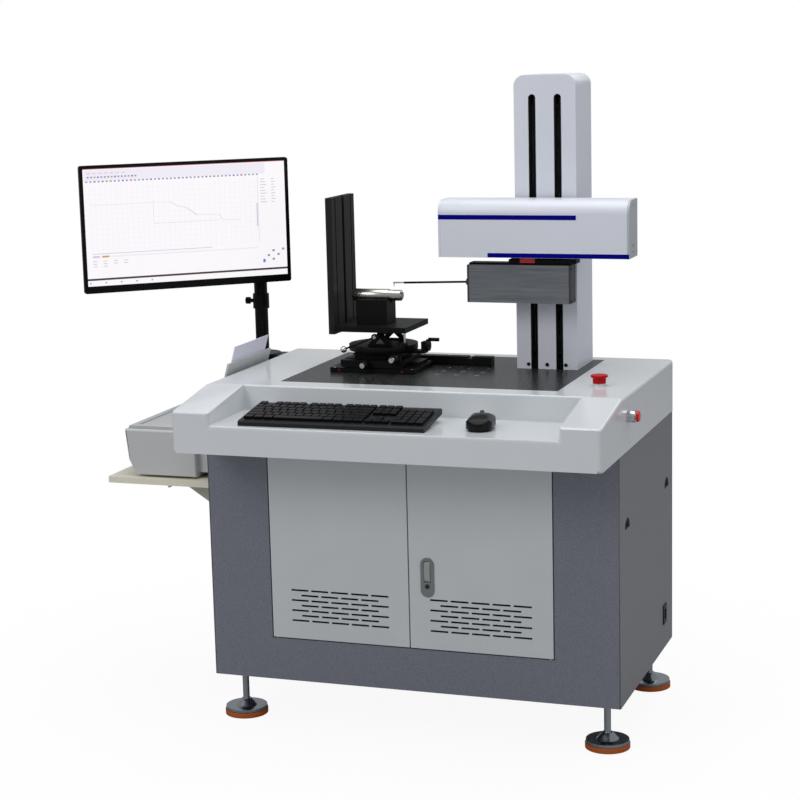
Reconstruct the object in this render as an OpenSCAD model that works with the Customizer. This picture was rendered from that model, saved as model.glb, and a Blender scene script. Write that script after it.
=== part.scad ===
// Surface roughness and contour measuring workstation, millimetres.
// Built with x across the table, y from its front edge to the back and z up from the floor,
// then shifted so that the origin is under the middle of the whole outline.

/* [Table] */
// Width of the moulded table top
table_w = 1000; // [940:1:1060]
// Depth of the table top
table_d = 750; // [730:1:800]
// Height of the table top's edge behind the slope
table_h = 127; // [120:1:140]
// Height of the table top's front edge
front_edge_h = 95; // [86:1:105]
// Depth of the sloping stretch and of the keyboard tray
slope_run = 200; // [180:1:215]
// Wall of the table moulding
table_wall = 6; // [4:0.5:8]
// Width of the keyboard tray
tray_w = 814; // [780:1:850]
// Depth of the tray below the table's flat top
tray_drop = 61; // [50:1:66]

/* [Granite] */
// Width of the granite plate
granite_w = 674; // [640:1:690]
// Depth of the granite plate
granite_d = 448; // [430:1:455]
// Thickness of the granite plate
granite_t = 100; // [80:1:112]
// Table edge left behind the granite
granite_back = 43; // [36:1:50]
// Gap round the granite
granite_gap = 0.8; // [0.5:0.1:0.9]
// Bore radius of the threaded inserts
insert_r = 3; // [2:0.5:4]
// Spacing of the threaded inserts
insert_pitch = 50; // [40:1:55]
// Depth of the threaded inserts
insert_depth = 18; // [12:1:30]

/* [Cabinet] */
// Height of the cabinet
cabinet_h = 580; // [540:1:640]
// Height of the cabinet above the floor
foot_h = 115; // [95:1:130]
// Set-back of the cabinet's front under the table edge
front_set_back = 178; // [160:1:190]
// Reveal of the table beyond the cabinet's sides and back
reveal = 2; // [1:0.5:3]
// Thickness of the front frame
front_t = 25; // [22:1:35]
// Thickness of the panels
panel_t = 3; // [2:0.5:4]
// Width of the front frame beside the doors
stile_w = 152; // [130:1:170]
// Height of the front frame under the doors
bottom_rail_h = 102; // [80:1:120]
// Height of the front frame above the doors
top_rail_h = 15; // [14:1:30]
// Side of the square rear posts and top rails
post_w = 30; // [25:1:32]
// Height of the folded floor pan
pan_h = 25; // [22:1:30]
// Thickness of the pan's floor
pan_floor = 4; // [3:0.5:6]
// Radius of the finger scoops in the side panels
scoop_r = 24; // [18:1:28]
// Inward depth of the finger scoops
scoop_deep = 14; // [10:1:18]
// Height of the finger scoops above the cabinet's bottom
scoop_up = 402; // [350:1:430]

/* [Doors] */
// Gap round the doors
door_gap = 3; // [2.5:0.5:4]
// Depth of the folded doors
door_t = 18; // [16:1:20]
// Sheet of the doors
door_sheet = 2; // [1.5:0.5:3]
// Radius of the door pivot pins
pivot_r = 3; // [2:0.5:3.5]
// Length of one vent slot
vent_l = 43; // [30:1:46]
// Height of one vent slot
vent_h = 4.5; // [3:0.5:6]
// Height of the flush latch
latch_h = 93; // [84:1:100]
// Width of the flush latch
latch_w = 32; // [30:1:36]

/* [Feet] */
// Radius of the foot plates
foot_r = 50; // [40:1:55]
// Radius of the levelling studs
stud_r = 8; // [6:0.5:9]
// Thickness of the foot pads
pad_t = 12; // [8:1:16]
// Inset of the feet from the cabinet's sides
foot_in = 47; // [40:1:52]

/* [Column] */
// Width of the column
column_w = 150; // [142:1:165]
// Depth of the column
column_d = 150; // [146:1:156]
// Height of the column above the granite
column_h = 698; // [660:1:760]
// Distance of the column's middle to the right of the table's middle
column_x = 236; // [180:1:250]
// Sheet of the column cover
cover_t = 3; // [2:0.5:4]
// Corner radius at the column's top
column_round = 26; // [15:1:32]
// Height of the column's foot
column_foot_h = 30; // [24:1:40]
// Width of the slots in the cover
slot_w = 17.5; // [14:0.5:20]
// Distance between the two slots
slot_pitch = 62; // [56:1:66]

/* [Head] */
// Length of the traverse housing
housing_l = 460; // [440:1:500]
// Depth of the traverse housing
housing_d = 86; // [80:1:96]
// Height of the traverse housing
housing_h = 134; // [132:1:160]
// Wall of the traverse housing
housing_wall = 3; // [2:0.5:4]
// Radius of the housing's top front edge
housing_round = 30; // [20:1:40]
// Height of the housing's underside above the granite
housing_up = 278; // [274:1:300]
// Length of the sensor body
sensor_l = 253; // [240:1:270]
// Depth of the sensor body
sensor_d = 46; // [40:1:52]
// Height of the sensor body
sensor_h = 90; // [80:1:96]
// Reach of the stylus beyond the sensor
stylus_reach = 196; // [185:1:205]
// Radius of the stylus rod
stylus_r = 2.5; // [2:0.1:3]
// Downward slope of the stylus at rest, degrees
stylus_dip = 1.7; // [1.5:0.1:3]

/* [Stage] */
// Width of the stage base
stage_w = 216; // [206:1:230]
// Thickness of the stage base
stage_base_t = 12; // [10:1:14]
// Radius of the turntable
turntable_r = 84; // [80:1:86]
// Width of the tilting platform
platform_w = 183; // [178:1:200]
// Depth of the tilting platform
platform_d = 170; // [150:1:176]
// Thickness of the tilting platform
platform_t = 13; // [10:1:16]
// Height of the angle plate
angle_h = 328; // [280:1:350]
// Width of the angle plate
angle_w = 153; // [140:1:168]
// Thickness of the angle plate
angle_t = 16; // [14:1:20]
// Radius of the test pin's large end
pin_big_r = 15; // [14:0.1:15.5]
// Radius of the test pin's small end
pin_small_r = 13.2; // [10:0.1:13.8]
// Length of the test pin
pin_l = 128; // [120:1:135]

/* [Screen] */
// Width of the monitor
monitor_w = 532; // [500:1:560]
// Height of the monitor
monitor_h = 314; // [300:1:335]
// Turn of the monitor towards the operator, degrees
monitor_turn = 40; // [36:1:44]
// Radius of the monitor pole
pole_r = 17; // [15:0.5:20]

/* [Desk] */
// Width of the keyboard
keyboard_w = 440; // [436:1:450]
// Depth of the keyboard
keyboard_d = 139; // [134:1:145]
// Length of the mouse
mouse_l = 100; // [94:1:110]
// Width of the mouse
mouse_w = 60; // [56:1:66]

/* [Printer] */
// Length of the shelf from the cabinet's side
shelf_l = 299; // [285:1:320]
// Depth of the shelf
shelf_d = 450; // [430:1:480]
// Width of the printer
printer_w = 420; // [380:1:424]
// Height of the printer's body
printer_h = 118; // [100:1:120]

/* [Hidden] */
$fn = 48;
// Overshoot of cuts, radial running fit, clearance of sliding faces
cut = 1;
fit = 0.05;
slip = 0.3;

// Cabinet and table levels
cab_z0 = foot_h;
cab_z1 = foot_h + cabinet_h;
top_z = cab_z1 + table_h;
front_z = cab_z1 + front_edge_h;
tray_z = top_z - tray_drop;
cab_x = table_w / 2 - reveal;
cab_y0 = front_set_back;
cab_y1 = table_d - reveal;
frame_x = cab_x - panel_t;
frame_y1 = cab_y1 - panel_t;
pan_z1 = cab_z0 + pan_h;
scoop_z = cab_z0 + scoop_up;
granite_y0 = table_d - granite_back - granite_d;
granite_z0 = top_z - granite_t;
bearer_w = 50;
bearer_in = 60;

// Doors
open_x = cab_x - stile_w;
open_z0 = cab_z0 + bottom_rail_h;
open_z1 = cab_z1 - top_rail_h;
door_z0 = open_z0 + door_gap;
door_z1 = open_z1 - door_gap;
door_w = open_x - 1.5 * door_gap;
pivot_in = 8;
pivot_deep = 6;
pivot_seat = 8;
pivot_x = open_x - door_gap - pivot_in;
vent_gap = 7;
vent_rows = 7;
vent_row_pitch = 12.3;
vent_up = 44;
latch_x = door_gap / 2 + 44.5;
latch_z = door_z0 + 171;
latch_rim = 3;
latch_proud = 2.5;
latch_deep = 12;
paddle_w = 14;
paddle_t = 4;
paddle_dome = 2;
paddle_low = -9;
paddle_high = 37;
paddle_axis_up = 34.5;
paddle_pin_r = 1.5;
paddle_pin_l = 2.5;
lock_r = 5.5;
lock_down = -21;
cam_l = 60;
cam_w = 10;
cam_t = 3;
cam_gap = 2;

// Feet
foot_y = [cab_y0 + 67, table_d - foot_r - 4];
foot_x = cab_x - foot_in;
foot_plate_t = 8;
foot_cone_h = 16;
nut_t = 10;
nut_r = 14;

// Switches on the table
estop_in = 87;
estop_y = slope_run + 143;
estop_travel = 4;
power_y = slope_run + 51;
power_z = top_z - 49;
power_travel = 3;
power_flange_t = 17;
power_cap_l = 6;
power_head_x = table_w / 2 + power_flange_t + power_travel + slip;

// Column
column_y0 = table_d - 204;
column_y1 = column_y0 + column_d;
column_z1 = top_z + column_h;
foot_z1 = top_z + column_foot_h;
web_t = 4;
web_gap = 0.5;
spine_w = 110;
spine_y0 = column_y1 - 66;
guide_pitch = 80;
guide_w = 16;
guide_d = 18;
z_screw_r = 8;
z_screw_y = spine_y0 - guide_d;
bracket_t = 10;
bracket_z0 = column_z1 - 68;

// Head
head_x0 = column_x - 236;
head_x1 = head_x0 + housing_l;
housing_y1 = column_y0 - 14;
housing_y0 = housing_y1 - housing_d;
housing_z0 = top_z + housing_up;
housing_z1 = housing_z0 + housing_h;
cap_t = 5;
beam_t = 11;
beam_y0 = housing_y1 - beam_t;
measure_y = column_y0 - 56;
rail_d = 12;
rail_z0 = housing_z0 + 50;
rail_z1 = rail_z0 + 30;
rail_x0 = head_x0 + 40;
rail_x1 = head_x1 - 60;
x_screw_r = 6;
x_screw_y = measure_y + 2;
x_screw_z = rail_z0 + 15;
carriage_x0 = head_x0 + 170;
carriage_l = 120;
neck_d = 28;
probe_travel = 100;
neck_gap = 5;
saddle_t = 9;
saddle_z0 = housing_z0 - 15;
top_plate_t = 4;
sensor_x0 = head_x0 + 63;
sensor_x1 = sensor_x0 + sensor_l;
sensor_z1 = saddle_z0 - top_plate_t;
sensor_z0 = sensor_z1 - sensor_h;
end_plate_t = 5;
stylus_z = sensor_z1 - 43;
stylus_pivot_in = 32;
stylus_pin_r = 3;
needle_l = 10.5;
tip_l = 29;
lift_travel = 215;
carriage_z0 = housing_z0 + 10;
carriage_z1 = carriage_z0 + 118;
lift_plate_t = 16;
lift_plate_y0 = z_screw_y - 28;

// Stage
stage_x = head_x0 - 160;
stage_y = measure_y;
stage_front = 86;
stage_back = 64;
base_z1 = top_z + stage_base_t;
guide_h = 10;
slide_t = 9.7;
cross_z0 = base_z1 + slip;
cross_z1 = cross_z0 + guide_h + slide_t;
y_guide_h = 8;
top_slide_t = 7.7;
top_slide_z0 = cross_z1 + slip;
top_slide_z1 = top_slide_z0 + y_guide_h + top_slide_t;
turn_z0 = top_slide_z1 + slip;
turn_z1 = turn_z0 + 13.7;
spigot_r = 20;
platform_z0 = top_z + 99;
platform_left = 96;
platform_z1 = platform_z0 + platform_t;
tilt_x = stage_x + 10;
tilt_z = platform_z0 - 10;
tilt_pin_r = 4;
tilt_lug_r = 8;
lug_y = 40;
lug_t = 6;
ear_t = 7;
lever_t = 5;
lever_rod_r = 2.3;
lever_y0 = -turntable_r - 3 - lever_t;
lever_reach = 80;
lever_drop = 32;
lever_ball_r = 8;
jack_r = 3;
jack_dx = 68;
jack_dy = -38;
angle_x0 = stage_x - platform_left - angle_t;
angle_hang = 8;
angle_groove_w = 14;
groove_notch = 2.5;
pin_z = platform_z1 + 67;
v_block_w = 79;
v_block_d = 65;
v_block_x0 = stage_x - 57;
v_block_h = 59;
crank_z = turn_z0 + 10;
crank_throw = 15;
crank_post_x = turntable_r + 16;
crank_r = 4;
knob_r = 11;
knob_shaft_r = 4;
bracket_y0 = 88;
x_knob_dx = -14;
y_knob_dx = 60;
x_knob_z = base_z1 + 11;
y_knob_z = cross_z1 + 6;
knob_bracket_t = 12;
rail_front = 66;
rail_left = 106;

// Screen
pole_x = -table_w / 2 - 72;
pole_y = table_d - 50;
monitor_x = pole_x - 99;
monitor_y = pole_y - 213;
monitor_z = top_z + 346;
bezel_d = 12;
back_d = 10;
back_in = 2;
bulge_d = 24;
boss_d = 6;
tilt_y = 76;
pan_y = 108;
head_half_w = 12.5;
tilt_r = 5;
pan_r = 8;
head_half_h = 15;
ear_w = 8;
ear_r = 10;
pole_z0 = top_z - 7;
flange_r = 47;
arm_h = 30;
arm_z0 = monitor_z - head_half_h - slip - arm_h;
arm_t = 16;
hub_r = 23;
spigot_pole_r = 12;
head_pivot = [monitor_x - pan_y * sin(monitor_turn), monitor_y + pan_y * cos(monitor_turn)];
arm_vector = head_pivot - [pole_x, pole_y];
arm_l = norm(arm_vector);
arm_turn = atan2(arm_vector[1], arm_vector[0]);

// Desk pieces
keyboard_x = -124;
keyboard_y = 90;
keyboard_turn = 1.15;
key_pitch = 19;
key_size = 16.4;
key_h = 6;
mouse_x = 204;
mouse_y = 102;
mouse_turn = 8;
mouse_h = 36;
wheel_r = 11;
wheel_w = 7;
wheel_y = 20;
wheel_z = 26.5;
wheel_pin_r = 1.5;

// Printer corner
shelf_t = 15;
shelf_z1 = cab_z0 + 458;
shelf_y0 = cab_y0 + 62;
shelf_x0 = -cab_x - shelf_l;
printer_y0 = shelf_y0 + 15;
printer_y1 = printer_y0 + printer_w;
printer_x0 = -cab_x - 256;
printer_x1 = -cab_x - 68;
printer_z0 = shelf_z1 + 5;
printer_z1 = shelf_z1 + printer_h;
feeder_z = printer_z1 - 11;
feeder_lean = 16;
feeder_x = printer_x1 + 10;
feeder_t = 5.2;
support_h = 166;
paper_h = 204;
paper_t = 2;
paper_w = 205;
support_w = 260;
feeder_mid_y = printer_y0 + printer_w / 2;

// Whole outline, which sets the origin
back_corner = [-(monitor_w / 2 - back_in), bezel_d + back_d];
bezel_corner = [-monitor_w / 2, bezel_d];
function monitor_corner_x(c) = monitor_x + c[0] * cos(monitor_turn) - c[1] * sin(monitor_turn);
outline_x0 = min(monitor_corner_x(back_corner), monitor_corner_x(bezel_corner));
outline_x1 = power_head_x + power_cap_l;
outline_mid = [(outline_x0 + outline_x1) / 2, table_d / 2, 0];

// Shared shapes
module place() { translate(-outline_mid) children(); }

module block(low, high) { translate(low) cube(high - low); }

module mirrored_x() {
    children();
    mirror([1, 0, 0]) children();
}

module along_x(x0, x1) { translate([x0, 0, 0]) rotate([90, 0, 90]) linear_extrude(x1 - x0) children(); }

module along_y(y0, y1) { translate([0, y1, 0]) rotate([90, 0, 0]) linear_extrude(y1 - y0) children(); }

module rod_x(p, r, l) { translate(p) rotate([0, 90, 0]) cylinder(r = r, h = l); }

module rod_y(p, r, l) { translate(p) rotate([-90, 0, 0]) cylinder(r = r, h = l); }

module rod_z(p, r, l) { translate(p) cylinder(r = r, h = l); }

module round_rect(w, h, r) {
    square([w - 2 * r, h], center = true);
    square([w, h - 2 * r], center = true);
    for (sx = [-1, 1], sy = [-1, 1]) translate([sx * (w / 2 - r), sy * (h / 2 - r)]) circle(r);
}

module stadium(w, h) {
    square([w, h - w], center = true);
    for (s = [-1, 1]) translate([0, s * (h - w) / 2]) circle(w / 2);
}

// Cabinet
module front_frame() {
    difference() {
        block([-frame_x, cab_y0, cab_z0], [frame_x, cab_y0 + front_t, cab_z1]);
        block([-open_x, cab_y0 - cut, open_z0], [open_x, cab_y0 + front_t + cut, open_z1]);
        for (s = [-1, 1], z = [open_z0 - pivot_seat - slip, open_z1 - cut])
            rod_z([s * pivot_x, cab_y0 + pivot_deep, z], pivot_r + fit, pivot_seat + slip + cut);
    }
}

module floor_pan() {
    difference() {
        block([-frame_x, cab_y0 + front_t, cab_z0], [frame_x, frame_y1, pan_z1]);
        block([-frame_x + panel_t, cab_y0 + front_t - cut, cab_z0 - cut],
              [frame_x - panel_t, frame_y1 - panel_t, pan_z1 - pan_floor]);
        for (s = [-1, 1], y = foot_y)
            rod_z([s * foot_x, y, cab_z0], stud_r + slip, pan_h + cut);
    }
}

module rear_frame() {
    for (s = [-1, 1]) {
        x0 = s > 0 ? frame_x - post_w : -frame_x;
        block([x0, frame_y1 - post_w, pan_z1], [x0 + post_w, frame_y1, cab_z1]);
        block([x0, cab_y0 + front_t, cab_z1 - post_w], [x0 + post_w, frame_y1, cab_z1]);
    }
    block([-frame_x, frame_y1 - post_w, cab_z1 - post_w], [frame_x, frame_y1, cab_z1]);
    block([-frame_x, frame_y1, cab_z0], [frame_x, cab_y1, cab_z1]);
}

module granite_bearers() {
    for (y = [granite_y0 + bearer_in, granite_y0 + granite_d - bearer_in - bearer_w]) {
        block([-frame_x, y, cab_z1 - post_w], [frame_x, y + bearer_w, cab_z1]);
        block([-granite_w / 2, y, cab_z1 - post_w], [granite_w / 2, y + bearer_w, granite_z0]);
    }
}

module cabinet_frame() {
    color("#5f616b") place() union() {
        front_frame();
        floor_pan();
        rear_frame();
        granite_bearers();
    }
}

module scoop(x, y) {
    translate([x, y, scoop_z]) rotate([90, 0, 90]) children();
}

module half_moon(r) {
    intersection() {
        circle(r);
        translate([-r, 0]) square([2 * r, r]);
    }
}

module side_panel(inlet) {
    scoop_ys = [cab_y0 + 72, cab_y1 - 70];
    difference() {
        union() {
            block([frame_x, cab_y0, cab_z0], [cab_x, cab_y1, cab_z1]);
            for (y = scoop_ys)
                block([cab_x - scoop_deep, y - scoop_r - panel_t, scoop_z - panel_t],
                      [cab_x - panel_t / 2, y + scoop_r + panel_t, scoop_z + scoop_r + panel_t]);
        }
        for (y = scoop_ys)
            scoop(cab_x - scoop_deep + panel_t, y) linear_extrude(scoop_deep) half_moon(scoop_r);
        if (inlet)
            inlet_cut();
    }
}

inlet_y = cab_y1 - 96;
inlet_z = cab_z0 + 88;
inlet_w = 24;
inlet_h = 40;
inlet_rim = 4;

module inlet_cut() {
    block([frame_x - cut, inlet_y - inlet_w / 2 - slip, inlet_z - inlet_h / 2 - slip],
          [cab_x + cut, inlet_y + inlet_w / 2 + slip, inlet_z + inlet_h / 2 + slip]);
}

module side_panels() {
    color("#85868a") place() {
        side_panel(true);
        mirror([1, 0, 0]) side_panel(false);
    }
}

module power_inlet() {
    socket_w = inlet_w - 8;
    socket_h = inlet_h - 14;
    color("#17181a") place() difference() {
        union() {
            block([cab_x, inlet_y - inlet_w / 2 - inlet_rim, inlet_z - inlet_h / 2 - inlet_rim],
                  [cab_x + panel_t, inlet_y + inlet_w / 2 + inlet_rim, inlet_z + inlet_h / 2 + inlet_rim]);
            block([cab_x - 26, inlet_y - inlet_w / 2, inlet_z - inlet_h / 2],
                  [cab_x, inlet_y + inlet_w / 2, inlet_z + inlet_h / 2]);
        }
        block([cab_x - 16, inlet_y - socket_w / 2, inlet_z - socket_h / 2],
              [cab_x + panel_t + cut, inlet_y + socket_w / 2, inlet_z + socket_h / 2]);
    }
}

// The door is drawn at the right, its hinge edge at +x
module door_pan() {
    x0 = door_gap / 2;
    x1 = x0 + door_w;
    difference() {
        block([x0, cab_y0, door_z0], [x1, cab_y0 + door_t, door_z1]);
        block([x0 + door_sheet, cab_y0 + door_sheet, door_z0 + door_sheet],
              [x1 - door_sheet, cab_y0 + door_t + cut, door_z1 - door_sheet]);
        vents(x0 + door_w / 2);
    }
    for (z = [door_z0 - door_gap - pivot_seat, door_z1 - door_sheet])
        rod_z([pivot_x, cab_y0 + pivot_deep, z], pivot_r, pivot_seat + door_gap + door_sheet);
}

module vents(mid_x) {
    pitch = vent_l + vent_gap;
    for (row = [0 : vent_rows - 1]) {
        count = row % 2 == 0 ? 5 : 4;
        for (i = [0 : count - 1])
            translate([mid_x + (i - (count - 1) / 2) * pitch - vent_l / 2, cab_y0 - cut,
                       door_z0 + vent_up + row * vent_row_pitch - vent_h / 2])
                cube([vent_l, door_sheet + 2 * cut, vent_h]);
    }
}

module left_door() { color("#aaaeb0") place() mirror([1, 0, 0]) door_pan(); }

module right_door() {
    color("#aaaeb0") place() difference() {
        door_pan();
        translate([latch_x, 0, latch_z]) along_y(cab_y0 - cut, cab_y0 + door_sheet + cut)
            stadium(latch_w - 2 * latch_rim + 2 * slip, latch_h - 2 * latch_rim + 2 * slip);
    }
}

module latch_plate() {
    recess_w = paddle_w + 2;
    color("#3c4046") place() translate([latch_x, 0, latch_z]) difference() {
        union() {
            along_y(cab_y0 - latch_proud, cab_y0) stadium(latch_w, latch_h);
            along_y(cab_y0, cab_y0 + latch_deep) stadium(latch_w - 2 * latch_rim, latch_h - 2 * latch_rim);
        }
        block([-recess_w / 2, cab_y0 - latch_proud - cut, paddle_low - 2],
              [recess_w / 2, cab_y0 + latch_deep / 2, paddle_axis_up + 4]);
        rod_x([-recess_w / 2 - paddle_pin_l, cab_y0, paddle_axis_up], paddle_pin_r + fit,
              recess_w + 2 * paddle_pin_l);
        rod_y([0, cab_y0 - latch_proud - cut, lock_down], lock_r + fit, latch_deep + latch_proud + 2 * cut);
    }
}

module latch_paddle() {
    color("#8f959c") place() translate([latch_x, 0, latch_z]) {
        along_x(-paddle_w / 2, paddle_w / 2)
            polygon([[cab_y0 + paddle_t / 2, paddle_low], [cab_y0 + paddle_t / 2, paddle_high],
                     [cab_y0 - paddle_t / 2, paddle_high],
                     [cab_y0 - paddle_t / 2 - paddle_dome, paddle_high * 0.6],
                     [cab_y0 - paddle_t / 2 - paddle_dome, 0], [cab_y0 - paddle_t / 2, paddle_low]]);
        rod_x([-paddle_w / 2 - paddle_pin_l, cab_y0, paddle_axis_up], paddle_pin_r,
              paddle_w + 2 * paddle_pin_l);
    }
}

module lock_cylinder() {
    cam_y = cab_y0 + door_t + cam_gap;
    color("#2a3c6e") place() translate([latch_x, 0, latch_z + lock_down]) difference() {
        union() {
            rod_y([0, cab_y0 - latch_proud - 1, 0], lock_r, door_t + cam_gap + latch_proud + 1);
            block([-cam_w / 2, cam_y, -lock_r], [cam_w / 2, cam_y + cam_t, cam_l]);
        }
        block([-0.8, cab_y0 - latch_proud - 2, -3], [0.8, cab_y0 - latch_proud + 4, 3]);
    }
}

module levelling_feet() {
    stud_z1 = pan_z1 + nut_t + 6;
    color("#70757a") place() for (s = [-1, 1], y = foot_y) translate([s * foot_x, y, pad_t]) {
        cylinder(r = foot_r, h = foot_plate_t);
        translate([0, 0, foot_plate_t]) cylinder(r1 = foot_r * 0.52, r2 = stud_r + 4, h = foot_cone_h);
        cylinder(r = stud_r, h = stud_z1 - pad_t);
        for (z = [pan_z1 - pan_floor - nut_t, pan_z1])
            translate([0, 0, z - pad_t]) cylinder(r = nut_r, h = nut_t, $fn = 6);
    }
}

module foot_pads() {
    color("#b5651d") place() for (s = [-1, 1], y = foot_y) translate([s * foot_x, y, 0])
        cylinder(r = foot_r + 2, h = pad_t);
}

module control_computer() {
    at = [-frame_x + 70, cab_y0 + 84, pan_z1];
    size = [180, 400, 390];
    grille_in = 25;
    grille_up = 40;
    grille_pitch = 12;
    bay_up = 300;
    bay_h = 42;
    color("#2b2d30") place() translate(at) difference() {
        cube(size);
        for (i = [0 : 9])
            translate([grille_in, -cut, grille_up + i * grille_pitch])
                cube([size[0] - 2 * grille_in, 4 + cut, 5]);
        translate([grille_in, -cut, bay_up]) cube([size[0] - 2 * grille_in, 3 + cut, bay_h]);
    }
}

// Table
module table_profile() {
    polygon([[0, cab_z1], [0, front_z], [slope_run, top_z], [table_d, top_z], [table_d, cab_z1]]);
}

module table_hollow() {
    t = table_wall;
    closed_y = cab_y0 + front_t;
    polygon([[t, cab_z1 + t], [t, front_z - t], [slope_run, top_z - t], [table_d - t, top_z - t],
             [table_d - t, cab_z1 - cut], [closed_y, cab_z1 - cut], [closed_y, cab_z1 + t]]);
}

module tray_space(grow) {
    block([-tray_w / 2 - grow, -cut, tray_z - grow], [tray_w / 2 + grow, slope_run + grow, top_z + cut]);
}

module table_top() {
    opening = granite_w / 2 + granite_gap;
    color("#d9dcdf") place() difference() {
        along_x(-table_w / 2, table_w / 2) table_profile();
        tray_space(0);
        difference() {
            along_x(-table_w / 2 + table_wall, table_w / 2 - table_wall) table_hollow();
            tray_space(table_wall);
        }
        block([-opening, granite_y0 - granite_gap, granite_z0],
              [opening, granite_y0 + granite_d + granite_gap, top_z + cut]);
        rod_z([table_w / 2 - estop_in, estop_y, top_z - table_wall - cut], estop_body_r + slip,
              table_wall + 2 * cut);
        rod_x([table_w / 2 - table_wall - cut, power_y, power_z], power_body_r + slip,
              table_wall + 2 * cut);
    }
}

module granite_plate() {
    inserts = [head_x0 - 4, stage_y - 65];
    color("#2b2c2e") place() difference() {
        block([-granite_w / 2, granite_y0, granite_z0], [granite_w / 2, granite_y0 + granite_d, top_z]);
        for (i = [0 : 2], j = [0 : 2])
            rod_z([inserts[0] + i * insert_pitch, inserts[1] + j * insert_pitch, top_z - insert_depth],
                  insert_r, insert_depth + cut);
    }
}

// Switches
estop_body_r = 11;
estop_stem_r = 7;
estop_flange_r = 17;
estop_flange_t = 2.5;
estop_neck_r = 13.5;
estop_neck_h = 14;
estop_nut_t = 8;
estop_skirt_t = 1.4;
estop_head_r = 20;
estop_head_t = 6;
power_body_r = 11;
power_stem_r = 8;
power_flange_r = 14;
power_nut_t = 6;
power_cap_r = 12.5;

module estop_collar() {
    body_l = 36;
    color("#d7dad8") place() translate([table_w / 2 - estop_in, estop_y, top_z]) difference() {
        union() {
            cylinder(r = estop_flange_r, h = estop_flange_t);
            cylinder(r = estop_neck_r, h = estop_neck_h);
            translate([0, 0, -body_l]) cylinder(r = estop_body_r, h = body_l + cut);
            translate([0, 0, -table_wall - estop_nut_t]) cylinder(r = estop_flange_r, h = estop_nut_t);
        }
        translate([0, 0, -body_l + table_wall]) cylinder(r = estop_stem_r + fit, h = body_l + estop_neck_h);
    }
}

module estop_button() {
    stem_z0 = -24;
    skirt_z = estop_flange_t + estop_travel + slip;
    head_z = estop_neck_h + estop_travel + 2;
    edge_r = estop_head_t / 2;
    color("#c01722") place() translate([table_w / 2 - estop_in, estop_y, top_z]) {
        translate([0, 0, stem_z0]) cylinder(r = estop_stem_r, h = head_z + cut - stem_z0);
        rotate_extrude() {
            translate([estop_neck_r + slip, skirt_z]) square([estop_skirt_t, head_z + cut - skirt_z]);
            translate([0, head_z]) square([estop_head_r - edge_r, estop_head_t]);
            translate([estop_head_r - edge_r, head_z + edge_r]) circle(edge_r);
        }
    }
}

module power_button_bezel() {
    body_l = 30;
    color("#b9bec2") place() translate([table_w / 2, power_y, power_z]) rotate([0, 90, 0]) difference() {
        union() {
            cylinder(r = power_flange_r, h = power_flange_t);
            translate([0, 0, -body_l]) cylinder(r = power_body_r, h = body_l + cut);
            translate([0, 0, -table_wall - power_nut_t]) cylinder(r = power_flange_r, h = power_nut_t);
        }
        translate([0, 0, -body_l + 4]) cylinder(r = power_stem_r + fit, h = body_l + power_flange_t);
    }
}

module power_button_cap() {
    stem_l = 40;
    step = 1.5;
    color("#d51a24") place() translate([power_head_x, power_y, power_z]) rotate([0, 90, 0]) {
        cylinder(r = power_cap_r, h = power_cap_l - step);
        cylinder(r = power_cap_r - step, h = power_cap_l);
        translate([0, 0, -stem_l]) cylinder(r = power_stem_r, h = stem_l + cut);
    }
}

// Keyboard and mouse
keyboard_half = keyboard_d / 2;
keyboard_front_h = 12;
keyboard_back_h = 30;
keyboard_slope = atan((keyboard_back_h - keyboard_front_h) / (keyboard_d - 3));

module at_keyboard() {
    translate([keyboard_x, keyboard_y, tray_z]) rotate([0, 0, keyboard_turn]) children();
}

module keyboard_case() {
    under = keyboard_back_h - 14;
    h = keyboard_half;
    color("#1b1c1f") place() at_keyboard() {
        along_x(-keyboard_w / 2, keyboard_w / 2)
            polygon([[-h, 1], [-h, keyboard_front_h - 3], [3 - h, keyboard_front_h],
                     [h - 2, keyboard_back_h - 0.26],
                     [h, keyboard_back_h - 3], [h, under], [8 - h, 0], [1 - h, 0]]);
        for (s = [-1, 1])
            along_x(s * keyboard_w * 0.38 - 11, s * keyboard_w * 0.38 + 11)
                polygon([[h - 30, 0], [h - 20, 0], [h - 6, under + 1], [h - 24, under + 1]]);
    }
}

main_rows = [
    [1.25, 1.25, 1.25, 6.25, 1.25, 1.25, 1.25, 1.25],
    [2.25, 1, 1, 1, 1, 1, 1, 1, 1, 1, 1, 2.75],
    [1.75, 1, 1, 1, 1, 1, 1, 1, 1, 1, 1, 1, 2.25],
    [1.5, 1, 1, 1, 1, 1, 1, 1, 1, 1, 1, 1, 1, 1.5],
    [1, 1, 1, 1, 1, 1, 1, 1, 1, 1, 1, 1, 1, 2]
];
function sum_to(list, n) = n <= 0 ? 0 : list[n - 1] + sum_to(list, n - 1);

module key(column, row, units, rows = 1) {
    inset = (key_pitch - key_size) / 2;
    translate([column * key_pitch + inset, row * key_pitch + inset, 0.2])
        cube([units * key_pitch - 2 * inset, rows * key_pitch - 2 * inset, key_h]);
}

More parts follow.
